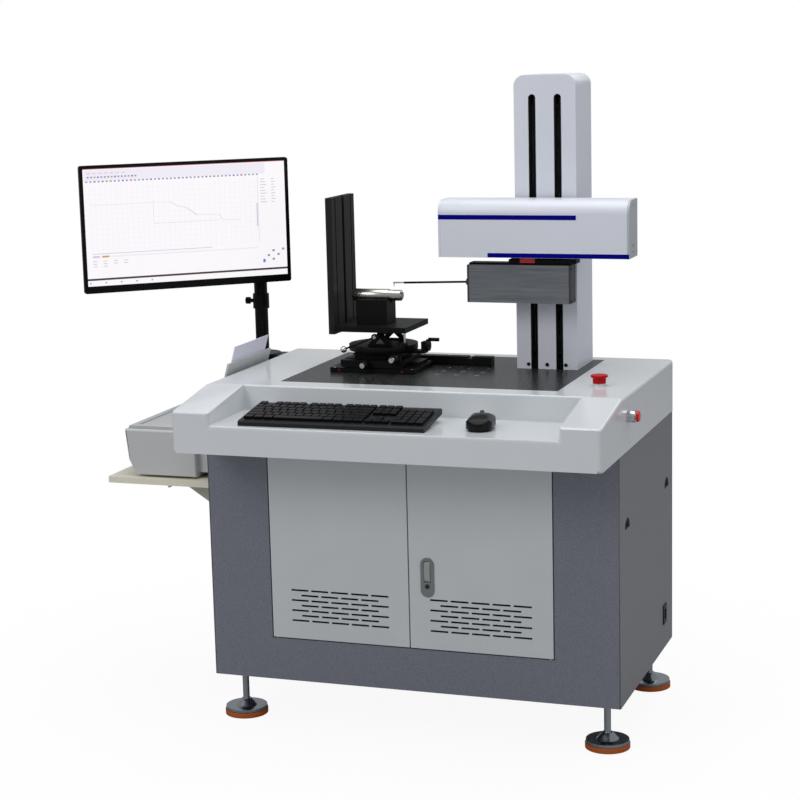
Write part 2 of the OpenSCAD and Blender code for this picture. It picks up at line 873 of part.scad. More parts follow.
module keyboard_keys() {
    nav = 15.2;
    pad = 18.4;
    columns = 22.4;
    first = [-columns * key_pitch / 2, 12];
    color("#26272b") place() at_keyboard()
        translate([0, 3 - keyboard_half, keyboard_front_h]) rotate([keyboard_slope, 0, 0])
        translate([first[0], first[1], 0]) {
            for (r = [0 : len(main_rows) - 1], k = [0 : len(main_rows[r]) - 1])
                key(sum_to(main_rows[r], k), r, main_rows[r][k]);
            key(0, 5.15, 1);
            for (g = [0 : 2], k = [0 : 3]) key(2 + g * 4.5 + k, 5.15, 1);
            for (k = [0 : 2], r = [0, 3, 4, 5.15]) key(nav + k, r, 1);
            key(nav + 1, 1, 1);
            key(pad, 0, 2);
            key(pad + 2, 0, 1);
            key(pad + 3, 0, 1, 2);
            key(pad + 3, 2, 1, 2);
            for (k = [0 : 2], r = [1, 2, 3]) key(pad + k, r, 1);
            for (k = [0 : 3]) key(pad + k, 4, 1);
        }
}

module at_mouse() { translate([mouse_x, mouse_y, tray_z]) rotate([0, 0, mouse_turn]) children(); }

module mouse_body() {
    long_r = 62;
    cross_r = 34;
    crown_y = -6;
    base_in = 8;
    base_h = 6;
    slot = wheel_w + 1.6;
    room = wheel_r + 2;
    color("#18191b") place() at_mouse() difference() {
        union() {
            linear_extrude(base_h) stadium(mouse_w - base_in, mouse_l - base_in);
            intersection() {
                translate([0, 0, base_h - cut]) linear_extrude(mouse_h) stadium(mouse_w, mouse_l);
                rod_x([-mouse_w, crown_y, mouse_h - long_r], long_r, 2 * mouse_w);
                rod_y([0, -mouse_l, mouse_h - cross_r], cross_r, 2 * mouse_l);
            }
        }
        block([-slot / 2, wheel_y - room, wheel_z - room], [slot / 2, wheel_y + room, mouse_h + cut]);
        rod_x([-slot / 2 - 3, wheel_y, wheel_z], wheel_pin_r + fit, slot + 6);
    }
}

module mouse_wheel() {
    color("#3a3c40") place() at_mouse() {
        rod_x([-wheel_w / 2, wheel_y, wheel_z], wheel_r, wheel_w);
        rod_x([-wheel_w / 2 - 3, wheel_y, wheel_z], wheel_pin_r, wheel_w + 6);
    }
}

// Screen on its pole
module at_monitor() {
    translate([monitor_x, monitor_y, monitor_z]) rotate([0, 0, monitor_turn]) children();
}

module monitor_pole() {
    collar_z = top_z + 111;
    side_x = -table_w / 2;
    shoulder_z = arm_z0 - slip;
    color("#141416") place() {
        rod_z([pole_x, pole_y, pole_z0], pole_r, shoulder_z - pole_z0);
        rod_z([pole_x, pole_y, shoulder_z - 1], spigot_pole_r, arm_h + 12);
        rod_z([pole_x, pole_y, pole_z0 - 12], flange_r, 14);
        block([pole_x, pole_y - 30, pole_z0 - 12], [side_x, pole_y + 30, pole_z0]);
        block([side_x - 8, pole_y - 46, pole_z0 - 90], [side_x, pole_y + 46, pole_z0]);
        rod_z([pole_x, pole_y, collar_z], pole_r + 4, 38);
        rod_x([pole_x - pole_r - 18, pole_y, collar_z + 19], 5, 20);
        rod_x([pole_x - pole_r - 24, pole_y, collar_z + 19], 9, 10);
    }
}

module monitor_arm() {
    color("#17171a") place() translate([pole_x, pole_y, arm_z0]) rotate([0, 0, arm_turn]) {
        difference() {
            union() {
                cylinder(r = hub_r, h = arm_h + 4);
                translate([0, -arm_t / 2, 0]) cube([arm_l, arm_t, arm_h]);
                translate([arm_l, 0, 0]) cylinder(r = hub_r - 6, h = arm_h);
            }
            translate([0, 0, -cut]) cylinder(r = spigot_pole_r + fit, h = arm_h + 4 + 2 * cut);
        }
        translate([arm_l, 0, arm_h - 1]) cylinder(r = pan_r, h = 2 * head_half_h - 1);
    }
}

module tilt_head() {
    color("#1d1d20") place() at_monitor() {
        difference() {
            block([-head_half_w, tilt_y - 10, -head_half_h], [head_half_w, pan_y + 13, head_half_h]);
            rod_z([0, pan_y, -head_half_h - cut], pan_r + fit, 2 * head_half_h + 2 * cut);
        }
        rod_x([-head_half_w - ear_w - 2, tilt_y, 0], tilt_r, 2 * (head_half_w + ear_w + 2));
    }
}

module monitor_back() {
    w = monitor_w - 2 * back_in;
    h = monitor_h - 2 * back_in;
    y1 = bezel_d + back_d;
    y2 = y1 + bulge_d;
    y3 = y2 + boss_d;
    color("#19191b") place() at_monitor() difference() {
        union() {
            along_y(bezel_d, y1) round_rect(w, h, 8);
            along_y(y1 - cut, y2) round_rect(w * 0.68, h * 0.68, 20);
            along_y(y2 - cut, y3) round_rect(110, 110, 10);
            mirrored_x() {
                block([head_half_w + 0.5, y3 - cut, -ear_r], [head_half_w + 0.5 + ear_w, tilt_y, ear_r]);
                rod_x([head_half_w + 0.5, tilt_y, 0], ear_r, ear_w);
            }
        }
        rod_x([-head_half_w - ear_w - 2, tilt_y, 0], tilt_r + fit, 2 * (head_half_w + ear_w + 2));
        for (i = [-7 : 7]) block([i * 16 - 4, y1, h * 0.22], [i * 16 + 4, y2 + cut, h * 0.24]);
    }
}

screen_side = 9;
screen_top = 8;
screen_chin = 18;
lip_t = 2;
lip_w = 3;
screen_w = monitor_w - 2 * screen_side;
screen_h = monitor_h - screen_top - screen_chin;
screen_mid_z = (screen_chin - screen_top) / 2;

module monitor_bezel() {
    color("#101012") place() at_monitor() difference() {
        along_y(0, bezel_d) round_rect(monitor_w, monitor_h, 6);
        translate([0, 0, screen_mid_z]) {
            along_y(-cut, bezel_d) square([screen_w, screen_h], center = true);
            along_y(lip_t, bezel_d + cut) square([screen_w + 2 * lip_w, screen_h + 2 * lip_w],
                  center = true);
        }
    }
}

module screen_panel() {
    color("#eef0f6") place() at_monitor() translate([0, 0, screen_mid_z]) along_y(lip_t, bezel_d)
        square([screen_w + 2 * lip_w - slip, screen_h + 2 * lip_w - slip], center = true);
}

// Printer on its shelf
module shelf_plate() {
    color("#dcd8c6") place()
        translate([(shelf_x0 - cab_x) / 2, shelf_y0 + shelf_d / 2, shelf_z1 - shelf_t])
            linear_extrude(shelf_t) round_rect(shelf_l, shelf_d, 4);
}

module shelf_brackets() {
    leg_t = 6;
    z1 = shelf_z1 - shelf_t;
    color("#b9b7a6") place() for (y = [shelf_y0 + 60, shelf_y0 + shelf_d - 85]) along_y(y, y + 25) {
        polygon([[-cab_x, z1 - 110], [-cab_x, z1], [-cab_x - 265, z1], [-cab_x - 265, z1 - leg_t],
                 [-cab_x - 124, z1 - leg_t], [-cab_x - leg_t, z1 - 82], [-cab_x - leg_t, z1 - 110]]);
        polygon([[-cab_x - 160, z1 - leg_t], [-cab_x - 148, z1 - leg_t], [-cab_x - 164, z1 - 20],
              [-cab_x - 168, z1 - 18]]);
    }
}

hinge_pin_r = 2.5;
lid_barrel_r = 5;
lid_axis = [printer_x1 - 8, printer_z1 + 6];
lid_y = [printer_y0 + 45, printer_y1 - 45];
tray_axis = [printer_x0 + 12, printer_z0 + 26];
tray_y = [printer_y0 + 75, printer_y1 - 75];
hinge_ear = 10;

module printer_body() {
    z0 = printer_z0;
    z1 = printer_z1;
    color("#b4b5b3") place() difference() {
        union() {
            along_y(printer_y0, printer_y1)
                polygon([[printer_x0 + 26, z0], [printer_x0 + 8, z0 + 37], [printer_x0, z1 - 3],
                      [printer_x0 + 3, z1],
                         [printer_x1, z1], [printer_x1, z0]]);
            block([printer_x1 - cut, printer_y0 + 20, z0 + 10], [-cab_x - 10, printer_y1 - 20, feeder_z]);
            for (x = [printer_x0 + 44, printer_x1 - 24], y = [printer_y0 + 20, printer_y1 - 40])
                block([x, y, shelf_z1], [x + 20, y + 20, z0 + cut]);
            for (y = [lid_y[0] - hinge_ear - 0.5, lid_y[1] + 0.5])
                block([lid_axis[0] - 6, y, z1 - cut], [printer_x1, y + hinge_ear, lid_axis[1] + 6]);
            for (y = [tray_y[0] - hinge_ear - 0.5, tray_y[1] + 0.5])
                along_y(y, y + hinge_ear) {
                    translate(tray_axis) circle(7);
                    translate([tray_axis[0], tray_axis[1] - 7]) square([16, 14]);
                }
        }
        rod_y([lid_axis[0], lid_y[0] - hinge_ear, lid_axis[1]], hinge_pin_r + fit,
              lid_y[1] - lid_y[0] + 2 * hinge_ear);
        rod_y([tray_axis[0], tray_y[0] - hinge_ear, tray_axis[1]], hinge_pin_r + fit,
              tray_y[1] - tray_y[0] + 2 * hinge_ear);
        block([printer_x0 - cut, tray_y[0] - 0.5, tray_axis[1] - 9],
              [tray_axis[0] + 9, tray_y[1] + 0.5, tray_axis[1] + 18]);
    }
}

module printer_lid() {
    z0 = printer_z1 + slip;
    lid_back = lid_axis[0] - 10;
    color("#c3c5c5") place() difference() {
        union() {
            along_y(printer_y0 + 8, printer_y1 - 8)
                polygon([[printer_x0 + 8, z0], [printer_x0 + 10, z0 + 7], [lid_back, z0 + 7],
                      [lid_back, z0]]);
            along_y(lid_y[0], lid_y[1]) {
                translate(lid_axis) circle(lid_barrel_r);
                translate([lid_back - cut, z0]) square([lid_axis[0] - lid_back + cut, 6]);
            }
            rod_y([lid_axis[0], lid_y[0] - hinge_ear + 1, lid_axis[1]], hinge_pin_r,
                  lid_y[1] - lid_y[0] + 2 * hinge_ear - 2);
        }
        block([printer_x0 + 26, printer_y0 + 26, z0 + 4], [lid_axis[0] - 22, printer_y1 - 26, z0 + 8]);
    }
}

module leaning_sheet(x, w, t, h) {
    shift = h * tan(feeder_lean);
    along_y(feeder_mid_y - w / 2, feeder_mid_y + w / 2)
        polygon([[x, feeder_z], [x + t, feeder_z], [x + t + shift, feeder_z + h],
              [x + shift, feeder_z + h]]);
}

module paper_support() { color("#bcc2be") place() leaning_sheet(feeder_x, support_w, feeder_t, support_h); }

module paper_stack() {
    color("#dcdcec") place() leaning_sheet(feeder_x - paper_t, paper_w, paper_t, paper_h);
}

module output_tray() {
    color("#aeb0ae") place() along_y(tray_y[0], tray_y[1]) {
        translate(tray_axis) circle(5);
        polygon([[tray_axis[0], tray_axis[1] - 5], [tray_axis[0], tray_axis[1] + 5],
                 [tray_axis[0] - 32, tray_axis[1] + 5], [tray_axis[0] - 36, tray_axis[1] + 2],
                       [tray_axis[0] - 32, tray_axis[1] - 1]]);
    }
    color("#aeb0ae") place()
        rod_y([tray_axis[0], tray_y[0] - hinge_ear + 1, tray_axis[1]], hinge_pin_r,
              tray_y[1] - tray_y[0] + 2 * hinge_ear - 2);
}

// Column
module column_outline(inset) {
    r = column_round - inset;
    w = column_w / 2 - inset;
    z1 = column_z1 - inset;
    translate([column_x, 0]) {
        translate([-w, top_z]) square([2 * w, z1 - r - top_z]);
        translate([r - w, top_z]) square([2 * (w - r), z1 - top_z]);
        for (s = [-1, 1]) translate([s * (w - r), z1 - r]) circle(r);
    }
}

slot_top = column_z1 - 45;

module column_slots() {
    for (s = [-1, 1]) translate([column_x + s * slot_pitch / 2, 0]) {
        translate([-slot_w / 2, top_z - cut]) square([slot_w, slot_top - slot_w / 2 - top_z + cut]);
        translate([0, slot_top - slot_w / 2]) circle(slot_w / 2);
    }
}

module column_cover() {
    color("#d4d6df") place() difference() {
        along_y(column_y0, column_y1) column_outline(0);
        along_y(column_y0 + cover_t, column_y1 - cover_t) column_outline(cover_t);
        block([column_x - column_w, column_y0 + cover_t, top_z - cut],
              [column_x + column_w, column_y1 + cut, foot_z1 + slip]);
        along_y(column_y0 - cut, column_y0 + 2 * cover_t) column_slots();
    }
}

module slot_brushes() {
    brush_w = slot_w / 2 - web_t / 2 - web_gap;
    color("#0c0c0d") place() for (s = [-1, 1], side = [-1, 1]) {
        edge = column_x + s * slot_pitch / 2 + side * slot_w / 2;
        block([min(edge, edge - side * brush_w), column_y0 + 0.6, top_z],
              [max(edge, edge - side * brush_w), column_y0 + cover_t, slot_top - slot_w / 2]);
    }
}

module column_spine() {
    foot_w = column_w / 2;
    color("#b9bcc4") place() difference() {
        union() {
            block([column_x - foot_w, column_y0 + cover_t, top_z], [column_x + foot_w, column_y1, foot_z1]);
            block([column_x - spine_w / 2, spine_y0, foot_z1 - cut],
                  [column_x + spine_w / 2, column_y1 - 6, bracket_z0 + bracket_t]);
            for (s = [-1, 1])
                block([column_x + s * guide_pitch / 2 - guide_w / 2, spine_y0 - guide_d, foot_z1 - cut],
                      [column_x + s * guide_pitch / 2 + guide_w / 2, spine_y0 + cut, bracket_z0 + cut]);
            block([column_x - 48, z_screw_y - 26, bracket_z0],
                  [column_x + 48, spine_y0 + cut, bracket_z0 + bracket_t]);
            translate([column_x - 21, z_screw_y - 21, bracket_z0 + bracket_t - cut]) cube([42, 42, 48]);
        }
        rod_z([column_x, z_screw_y, foot_z1 - 16], z_screw_r + fit, 16 + cut);
        rod_z([column_x, z_screw_y, bracket_z0 - cut], z_screw_r + fit, bracket_t + cut);
    }
}

module z_screw() {
    z0 = foot_z1 - 15;
    color("#9aa0a6") place() rod_z([column_x, z_screw_y, z0], z_screw_r,
          bracket_z0 + bracket_t - slip - z0);
}

// Measuring head
module housing_outline(inset) {
    r = housing_round - inset;
    y0 = housing_y0 + inset;
    z0 = housing_z0 + inset;
    z1 = housing_z1 - inset;
    translate([y0, z0]) square([housing_y1 - y0, z1 - r - z0]);
    translate([y0 + r, z0]) square([housing_y1 - y0 - r, z1 - z0]);
    translate([y0 + r, z1 - r]) circle(r);
}

module traverse_housing() {
    x0 = head_x0 + cap_t;
    x1 = head_x1 - cap_t;
    color("#cfd2dc") place() difference() {
        along_x(x0, x1) housing_outline(0);
        translate([0, cut, 0]) along_x(x0 - cut, x1 + cut) housing_outline(housing_wall);
        translate([0, housing_d / 2, 0]) along_x(x0 - cut, x1 + cut) housing_outline(housing_wall);
        block([carriage_x0 - probe_travel - neck_gap, measure_y - neck_d / 2 - 3, housing_z0 - cut],
              [carriage_x0 + carriage_l + probe_travel + neck_gap, measure_y + neck_d / 2 + 3,
                    housing_z0 + housing_wall + cut]);
    }
}

module housing_end_caps() {
    color("#a9adb3") place() difference() {
        for (x = [head_x0, head_x1 - cap_t]) along_x(x, x + cap_t) housing_outline(0);
        block([head_x1 - cap_t / 2, housing_y0 + 30, housing_z0 + 25],
              [head_x1 + cut, housing_y0 + 52, housing_z0 + 31]);
    }
}

module lift_carriage() {
    half = guide_pitch / 2;
    block([column_x - 55, lift_plate_y0, carriage_z0],
          [column_x + 55, lift_plate_y0 + lift_plate_t, carriage_z1]);
    for (s = [-1, 1]) difference() {
        block([column_x + s * half - 20, lift_plate_y0 + lift_plate_t - cut, carriage_z0 + 10],
              [column_x + s * half + 20, spine_y0 - 4, carriage_z1 - 10]);
        block([column_x + s * half - guide_w / 2 - slip, spine_y0 - guide_d - slip, carriage_z0],
              [column_x + s * half + guide_w / 2 + slip, spine_y0, carriage_z1]);
    }
    difference() {
        block([column_x - 15, lift_plate_y0 + lift_plate_t - cut, carriage_z0 + 40],
              [column_x + 15, z_screw_y + 15, carriage_z0 + 80]);
        rod_z([column_x, z_screw_y, carriage_z0], z_screw_r + fit, 118);
    }
    for (s = [-1, 1])
        block([column_x + s * slot_pitch / 2 - web_t / 2, beam_y0 + beam_t - cut, carriage_z0],
              [column_x + s * slot_pitch / 2 + web_t / 2, lift_plate_y0 + cut, carriage_z1]);
}

module traverse_beam() {
    x0 = head_x0 + cap_t;
    x1 = head_x1 - cap_t;
    color("#5d6167") place() {
        block([x0, beam_y0, housing_z0 + housing_wall], [x1, housing_y1, housing_z1 - housing_wall]);
        block([rail_x0, beam_y0 - rail_d, rail_z0], [rail_x1, beam_y0 + cut, rail_z1]);
        for (x = [rail_x0 - 14, rail_x1]) difference() {
            block([x, x_screw_y - 12, rail_z0], [x + 14, beam_y0 + cut, rail_z1]);
            rod_x([x - cut, x_screw_y, x_screw_z], x_screw_r + fit, 14 + 2 * cut);
        }
        block([rail_x1 + 14, x_screw_y - 18, x_screw_z - 18], [x1 - 8, beam_y0 + cut, x_screw_z + 18]);
        lift_carriage();
    }
}

module x_screw() {
    color("#9aa0a6") place() rod_x([rail_x0 - 13, x_screw_y, x_screw_z], x_screw_r, rail_x1 - rail_x0 + 26);
}

module x_carriage() {
    x0 = carriage_x0;
    x1 = carriage_x0 + carriage_l;
    y0 = x_screw_y - 14;
    y_front = beam_y0 - rail_d - slip;
    claw_y = beam_y0 - 1;
    color("#1b1c1c") place() difference() {
        union() {
            block([x0, y0, rail_z0 - 20], [x1, y_front, rail_z1 + 20]);
            block([x0, y0, rail_z1 + slip], [x1, claw_y, rail_z1 + 20]);
            block([x0, y0, rail_z0 - 20], [x1, claw_y, rail_z0 - slip]);
            block([x0, measure_y - neck_d / 2, saddle_z0], [x1, measure_y + neck_d / 2, rail_z0 - 19]);
            block([x0 - 5, measure_y - 19, saddle_z0], [x1 + 38, measure_y + 19, saddle_z0 + saddle_t]);
        }
        rod_x([x0 - cut, x_screw_y, x_screw_z], x_screw_r + fit, carriage_l + 2 * cut);
    }
}

sensor_y0 = measure_y - sensor_d / 2;
sensor_y1 = measure_y + sensor_d / 2;
stylus_pivot_x = sensor_x0 + stylus_pivot_in;
stylus_hole_r = 6;
pivot_room = [44, 26, 30];

module sensor_body() {
    x0 = sensor_x0 + end_plate_t;
    x1 = sensor_x1 - end_plate_t;
    groove = 1.2;
    color("#5b5f62") place() difference() {
        union() {
            block([x0, sensor_y0, sensor_z0], [x1, sensor_y1, sensor_z1]);
            block([sensor_x0 + 4, sensor_y0 + 6, sensor_z1 - cut],
                  [sensor_x1, sensor_y1 - 4, sensor_z1 + top_plate_t]);
        }
        for (z = [sensor_z0 + 8, sensor_z1 - 12]) {
            block([x0 - cut, sensor_y0 - cut, z], [x1 + cut, sensor_y0 + groove, z + 3]);
            block([x0 - cut, sensor_y1 - groove, z], [x1 + cut, sensor_y1 + cut, z + 3]);
        }
        block([x0 - cut, measure_y - pivot_room[1] / 2, stylus_z - pivot_room[2] / 2],
              [sensor_x0 + pivot_room[0], measure_y + pivot_room[1] / 2, stylus_z + pivot_room[2] / 2]);
        rod_y([stylus_pivot_x, measure_y - pivot_room[1] / 2 - 5, stylus_z], stylus_pin_r + fit,
              pivot_room[1] + 10);
    }
}

module sensor_end_plates() {
    color("#3c3f41") place() difference() {
        union() {
            block([sensor_x0, sensor_y0, sensor_z0], [sensor_x0 + end_plate_t, sensor_y1, sensor_z1 - cut]);
            block([sensor_x1 - end_plate_t, sensor_y0, sensor_z0], [sensor_x1, sensor_y1, sensor_z1 - cut]);
            translate([sensor_x0 + cut, measure_y, stylus_z - 1]) rotate([0, -90, 0])
                cylinder(r1 = 9.5, r2 = 7.5, h = 9);
        }
        rod_x([sensor_x0 - 12, measure_y, stylus_z - 1], stylus_hole_r, 12 + end_plate_t + cut);
    }
}

module stylus() {
    rod_l = stylus_pivot_in + stylus_reach - tip_l;
    tip_r = 1.8;
    color("#1a1a1b") place() translate([stylus_pivot_x, measure_y, stylus_z]) rotate([0, -stylus_dip, 0]) {
        rod_y([0, -pivot_room[1] / 2 - 4, 0], stylus_pin_r, pivot_room[1] + 8);
        block([-8, -10, -6], [10, 10, 6]);
        rod_x([-rod_l, 0, 0], stylus_r, rod_l);
        rod_x([-rod_l - tip_l + 2, 0, 0.4], tip_r, tip_l);
        translate([-rod_l - tip_l + 3.8, 0, 0.4 - needle_l]) cylinder(r1 = 0.4, r2 = 1.4, h = needle_l);
    }
}

// Stage
module at_stage() { translate([stage_x, stage_y, 0]) children(); }

module stage_base() {
    color("#161617") place() at_stage() {
        block([-stage_w / 2, -stage_front, top_z], [stage_w / 2, stage_back, base_z1]);
        block([-stage_w / 2 + 6, -30, base_z1 - cut], [stage_w / 2 - 6, 30, base_z1 + guide_h]);
    }
}

module cross_slide() {
    half_w = 75;
    skirt = 30 + slip;
    color("#1c1c1e") place() at_stage() difference() {
        union() {
            block([-half_w, -60, base_z1 + guide_h + slip], [half_w, 60, cross_z1]);
            for (s = [-1, 1])
                block([-half_w, min(s * skirt, s * 60), cross_z0],
                      [half_w, max(s * skirt, s * 60), cross_z1]);
            block([-25, -60, cross_z1 - cut], [25, 60, cross_z1 + y_guide_h]);
            block([-half_w, -bracket_y0, base_z1 + 2], [half_w, -59, cross_z1 - 1]);
            block([y_knob_dx - 12, -bracket_y0, base_z1 + 2],
                  [y_knob_dx + 12, knob_bracket_t - bracket_y0, y_knob_z + 8]);
        }
        rod_y([x_knob_dx, -bracket_y0 - cut, x_knob_z], knob_shaft_r + fit, 24 + cut);
        rod_y([y_knob_dx, -bracket_y0 - cut, y_knob_z], knob_shaft_r + fit, knob_bracket_t + 2 * cut);
    }
}

module top_slide() {
    half_w = 55;
    skirt = 25 + slip;
    plate_z0 = top_slide_z0 + y_guide_h;
    color("#1c1c1e") place() at_stage() difference() {
        union() {
            block([-half_w, -55, plate_z0], [half_w, 55, top_slide_z1]);
            for (s = [-1, 1])
                block([min(s * skirt, s * half_w), -55, top_slide_z0],
                      [max(s * skirt, s * half_w), 55, top_slide_z1]);
            rod_z([0, 0, top_slide_z1 - cut], spigot_r, 11);
            block([half_w - cut, -14, plate_z0], [crank_post_x + 10, 14, top_slide_z1 - 0.5]);
            block([crank_post_x, -12, plate_z0], [crank_post_x + 10, 12, crank_z + 10]);
        }
        rod_x([crank_post_x - cut, 0, crank_z], crank_r + fit, 10 + 2 * cut);
    }
}

module tilt_ear(y) {
    axis = [tilt_x - stage_x, tilt_z];
    foot = 34;
    along_y(y, y + ear_t) difference() {
        union() {
            translate(axis) circle(tilt_lug_r);
            polygon([[axis[0] - foot, turn_z1 - cut], [axis[0] + foot, turn_z1 - cut],
                  [axis[0] + 6, axis[1] + 4], [axis[0] - 6, axis[1] + 4]]);
        }
        translate(axis) circle(tilt_pin_r + fit);
        polygon([[axis[0] - 14, turn_z1 + 5], [axis[0] + 14, turn_z1 + 5], [axis[0], axis[1] - 9]]);
    }
}

module turntable() {
    color("#19191b") place() at_stage() difference() {
        union() {
            rod_z([0, 0, turn_z0], turntable_r, turn_z1 - turn_z0);
            for (y = [-lug_y - lug_t - slip - ear_t, lug_y + lug_t + slip]) tilt_ear(y);
            rod_z([jack_dx, jack_dy, turn_z1 - cut], jack_r + 4, 8);
        }
        rod_z([0, 0, turn_z0 - cut], spigot_r + fit, 12);
        rod_z([jack_dx, jack_dy, turn_z0 - cut], jack_r + fit, turn_z1 - turn_z0 + 10);
    }
}

module tilt_platform() {
    axis = [tilt_x - stage_x, tilt_z];
    color("#131314") place() at_stage() {
        difference() {
            block([-platform_left, -platform_d / 2, platform_z0],
                  [platform_w - platform_left, platform_d / 2, platform_z1]);
            block([-platform_left - cut, -angle_groove_w / 2, platform_z0 - cut],
                  [-platform_left + groove_notch, angle_groove_w / 2, platform_z1 + cut]);
        }
        for (y = [-lug_y - lug_t, lug_y])
            along_y(y, y + lug_t) {
                translate(axis) circle(tilt_lug_r - 1);
                translate([axis[0] - 7, axis[1]]) square([14, platform_z0 - axis[1] + cut]);
            }
        pin_y0 = lever_y0 - 1.5;
        rod_y([axis[0], pin_y0, axis[1]], tilt_pin_r, lug_y + lug_t + slip + ear_t - pin_y0);
    }
}

jack_z0 = turn_z0 + 2;
jack_gap = 0.6;

module tilt_screw() {
    color("#b4b8bb") place() at_stage() rod_z([jack_dx, jack_dy, jack_z0], jack_r,
          platform_z0 - jack_gap - jack_z0);
}

module tilt_lock_lever() {
    axis = [tilt_x - stage_x, tilt_z];
    turn = atan(lever_drop / lever_reach);
    rod_l = norm([lever_reach, lever_drop]);
    rod_z0 = (tilt_pin_r + tilt_lug_r) / 2;
    ball_end = 60;
    ball_h = lever_ball_r * sin(ball_end);
    color("#1e1e20") place() at_stage() {
        along_y(lever_y0, lever_y0 + lever_t) translate(axis) difference() {
            circle(tilt_lug_r);
            circle(tilt_pin_r + fit);
        }
        translate([axis[0], lever_y0 + lever_t / 2, axis[1]]) rotate([0, -90 - turn, 0]) rotate_extrude()
            polygon(concat([[0, rod_z0], [lever_rod_r, rod_z0], [lever_rod_r, rod_l - ball_h]],
                [for (a = [-ball_end : 20 : ball_end])
                    [lever_ball_r * cos(a), rod_l + lever_ball_r * sin(a)]],
                [[0, rod_l + ball_h]]));
    }
}

module slide_knob(shaft_l, head_gap) {
    rotate([90, 0, 0]) {
        translate([0, 0, -shaft_l]) cylinder(r = knob_shaft_r, h = shaft_l + head_gap + 1);
        translate([0, 0, head_gap]) cylinder(r = knob_r, h = 20);
        translate([0, 0, head_gap + 20]) cylinder(r1 = knob_r - 3, r2 = knob_r - 5, h = 9);
    }
}

module x_knob() {
    color("#202022") place() at_stage() translate([x_knob_dx, -bracket_y0, x_knob_z]) slide_knob(22, 0.5);
}

module y_knob() {
    color("#202022") place() at_stage() translate([y_knob_dx, -bracket_y0, y_knob_z])
        slide_knob(knob_bracket_t - 1, 0.5);
}

module turntable_crank() {
    x0 = crank_post_x + 10;
    color("#1a1a1c") place() at_stage() {
        rod_x([crank_post_x + 1, 0, crank_z], crank_r, 20);
        rod_x([x0 + 0.5, 0, crank_z], 13, 8);
        block([x0 + 0.5, -5, crank_z], [x0 + 7, 5, crank_z + crank_throw]);
        rod_x([x0 + 6, 0, crank_z + crank_throw], 4.5, 26);
    }
}

module angle_plate() {
    x1 = angle_x0 + angle_t;
    z0 = platform_z0 - angle_hang;
    z1 = z0 + angle_h;
    groove_deep = 9;
    undercut_t = 4;
    line_w = 6;
    line_deep = 1.5;
    line_y = angle_w * 0.34;
    color("#1b1b1c") place() translate([0, stage_y, 0]) difference() {
        block([angle_x0, -angle_w / 2, z0], [x1, angle_w / 2, z1]);
        block([x1 - groove_deep, -angle_groove_w / 2, z0 - cut], [x1 + cut, angle_groove_w / 2, z1 + cut]);
        block([x1 - groove_deep, -angle_groove_w, z0 - cut],
              [x1 - groove_deep + undercut_t, angle_groove_w, z1 + cut]);
        for (s = [-1, 1])
            block([x1 - line_deep, s * line_y - line_w / 2, z0 - cut],
                  [x1 + cut, s * line_y + line_w / 2, z1 + cut]);
    }
}

module v_block() {
    apex = pin_z - (pin_big_r + fit) * sqrt(2);
    z1 = platform_z1 + v_block_h;
    rise = z1 + cut - apex;
    color("#121213") place() translate([0, stage_y, 0]) difference() {
        block([v_block_x0, -v_block_d / 2, platform_z1], [v_block_x0 + v_block_w, v_block_d / 2, z1]);
        along_x(v_block_x0 - cut, v_block_x0 + v_block_w + cut)
            polygon([[0, apex], [rise, z1 + cut], [-rise, z1 + cut]]);
    }
}

module test_pin() {
    x0 = v_block_x0 - 17;
    big_l = pin_l * 0.72;
    color("#bdbcb6") place() translate([x0, stage_y, pin_z]) rotate([0, 90, 0]) {
        cylinder(r = pin_big_r - 1, h = big_l);
        translate([0, 0, 1]) cylinder(r = pin_big_r, h = big_l - 1);
        translate([0, 0, big_l - cut]) cylinder(r = pin_small_r, h = pin_l - big_l - 4);
        translate([0, 0, pin_l - 5 - cut]) cylinder(r1 = pin_small_r, r2 = pin_small_r - 4, h = 4);
    }
}

module alignment_rail() {
    rail_l = 360;
    color("#17181a") place() translate([stage_x - rail_left, stage_y + rail_front, top_z]) difference() {
        cube([rail_l, 24, 23]);
        translate([rail_l - 62, -cut, 18]) cube([12, 26, 6]);
        translate([-cut, -cut, -cut]) cube([rail_l + 2, 1 + cut, 3 + cut]);
    }
}

cabinet_frame();
side_panels();
power_inlet();
left_door();
right_door();
latch_plate();
latch_paddle();
lock_cylinder();
levelling_feet();
foot_pads();
control_computer();
table_top();
granite_plate();
estop_collar();
estop_button();
power_button_bezel();
power_button_cap();
keyboard_case();
keyboard_keys();
mouse_body();
mouse_wheel();
monitor_pole();
monitor_arm();
tilt_head();
monitor_back();
monitor_bezel();
screen_panel();
shelf_plate();
shelf_brackets();
printer_body();
printer_lid();
paper_support();
paper_stack();
output_tray();
column_spine();
column_cover();
slot_brushes();
z_screw();
traverse_beam();
traverse_housing();
housing_end_caps();
x_screw();
x_carriage();
sensor_body();
sensor_end_plates();
stylus();
stage_base();
cross_slide();
top_slide();
turntable();
tilt_platform();
tilt_screw();
tilt_lock_lever();
x_knob();
y_knob();
turntable_crank();
angle_plate();
v_block();
test_pin();
alignment_rail();
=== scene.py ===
# Looks of the surface roughness workstation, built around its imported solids.
import math

import bmesh
import bpy
from mathutils import Matrix, Vector


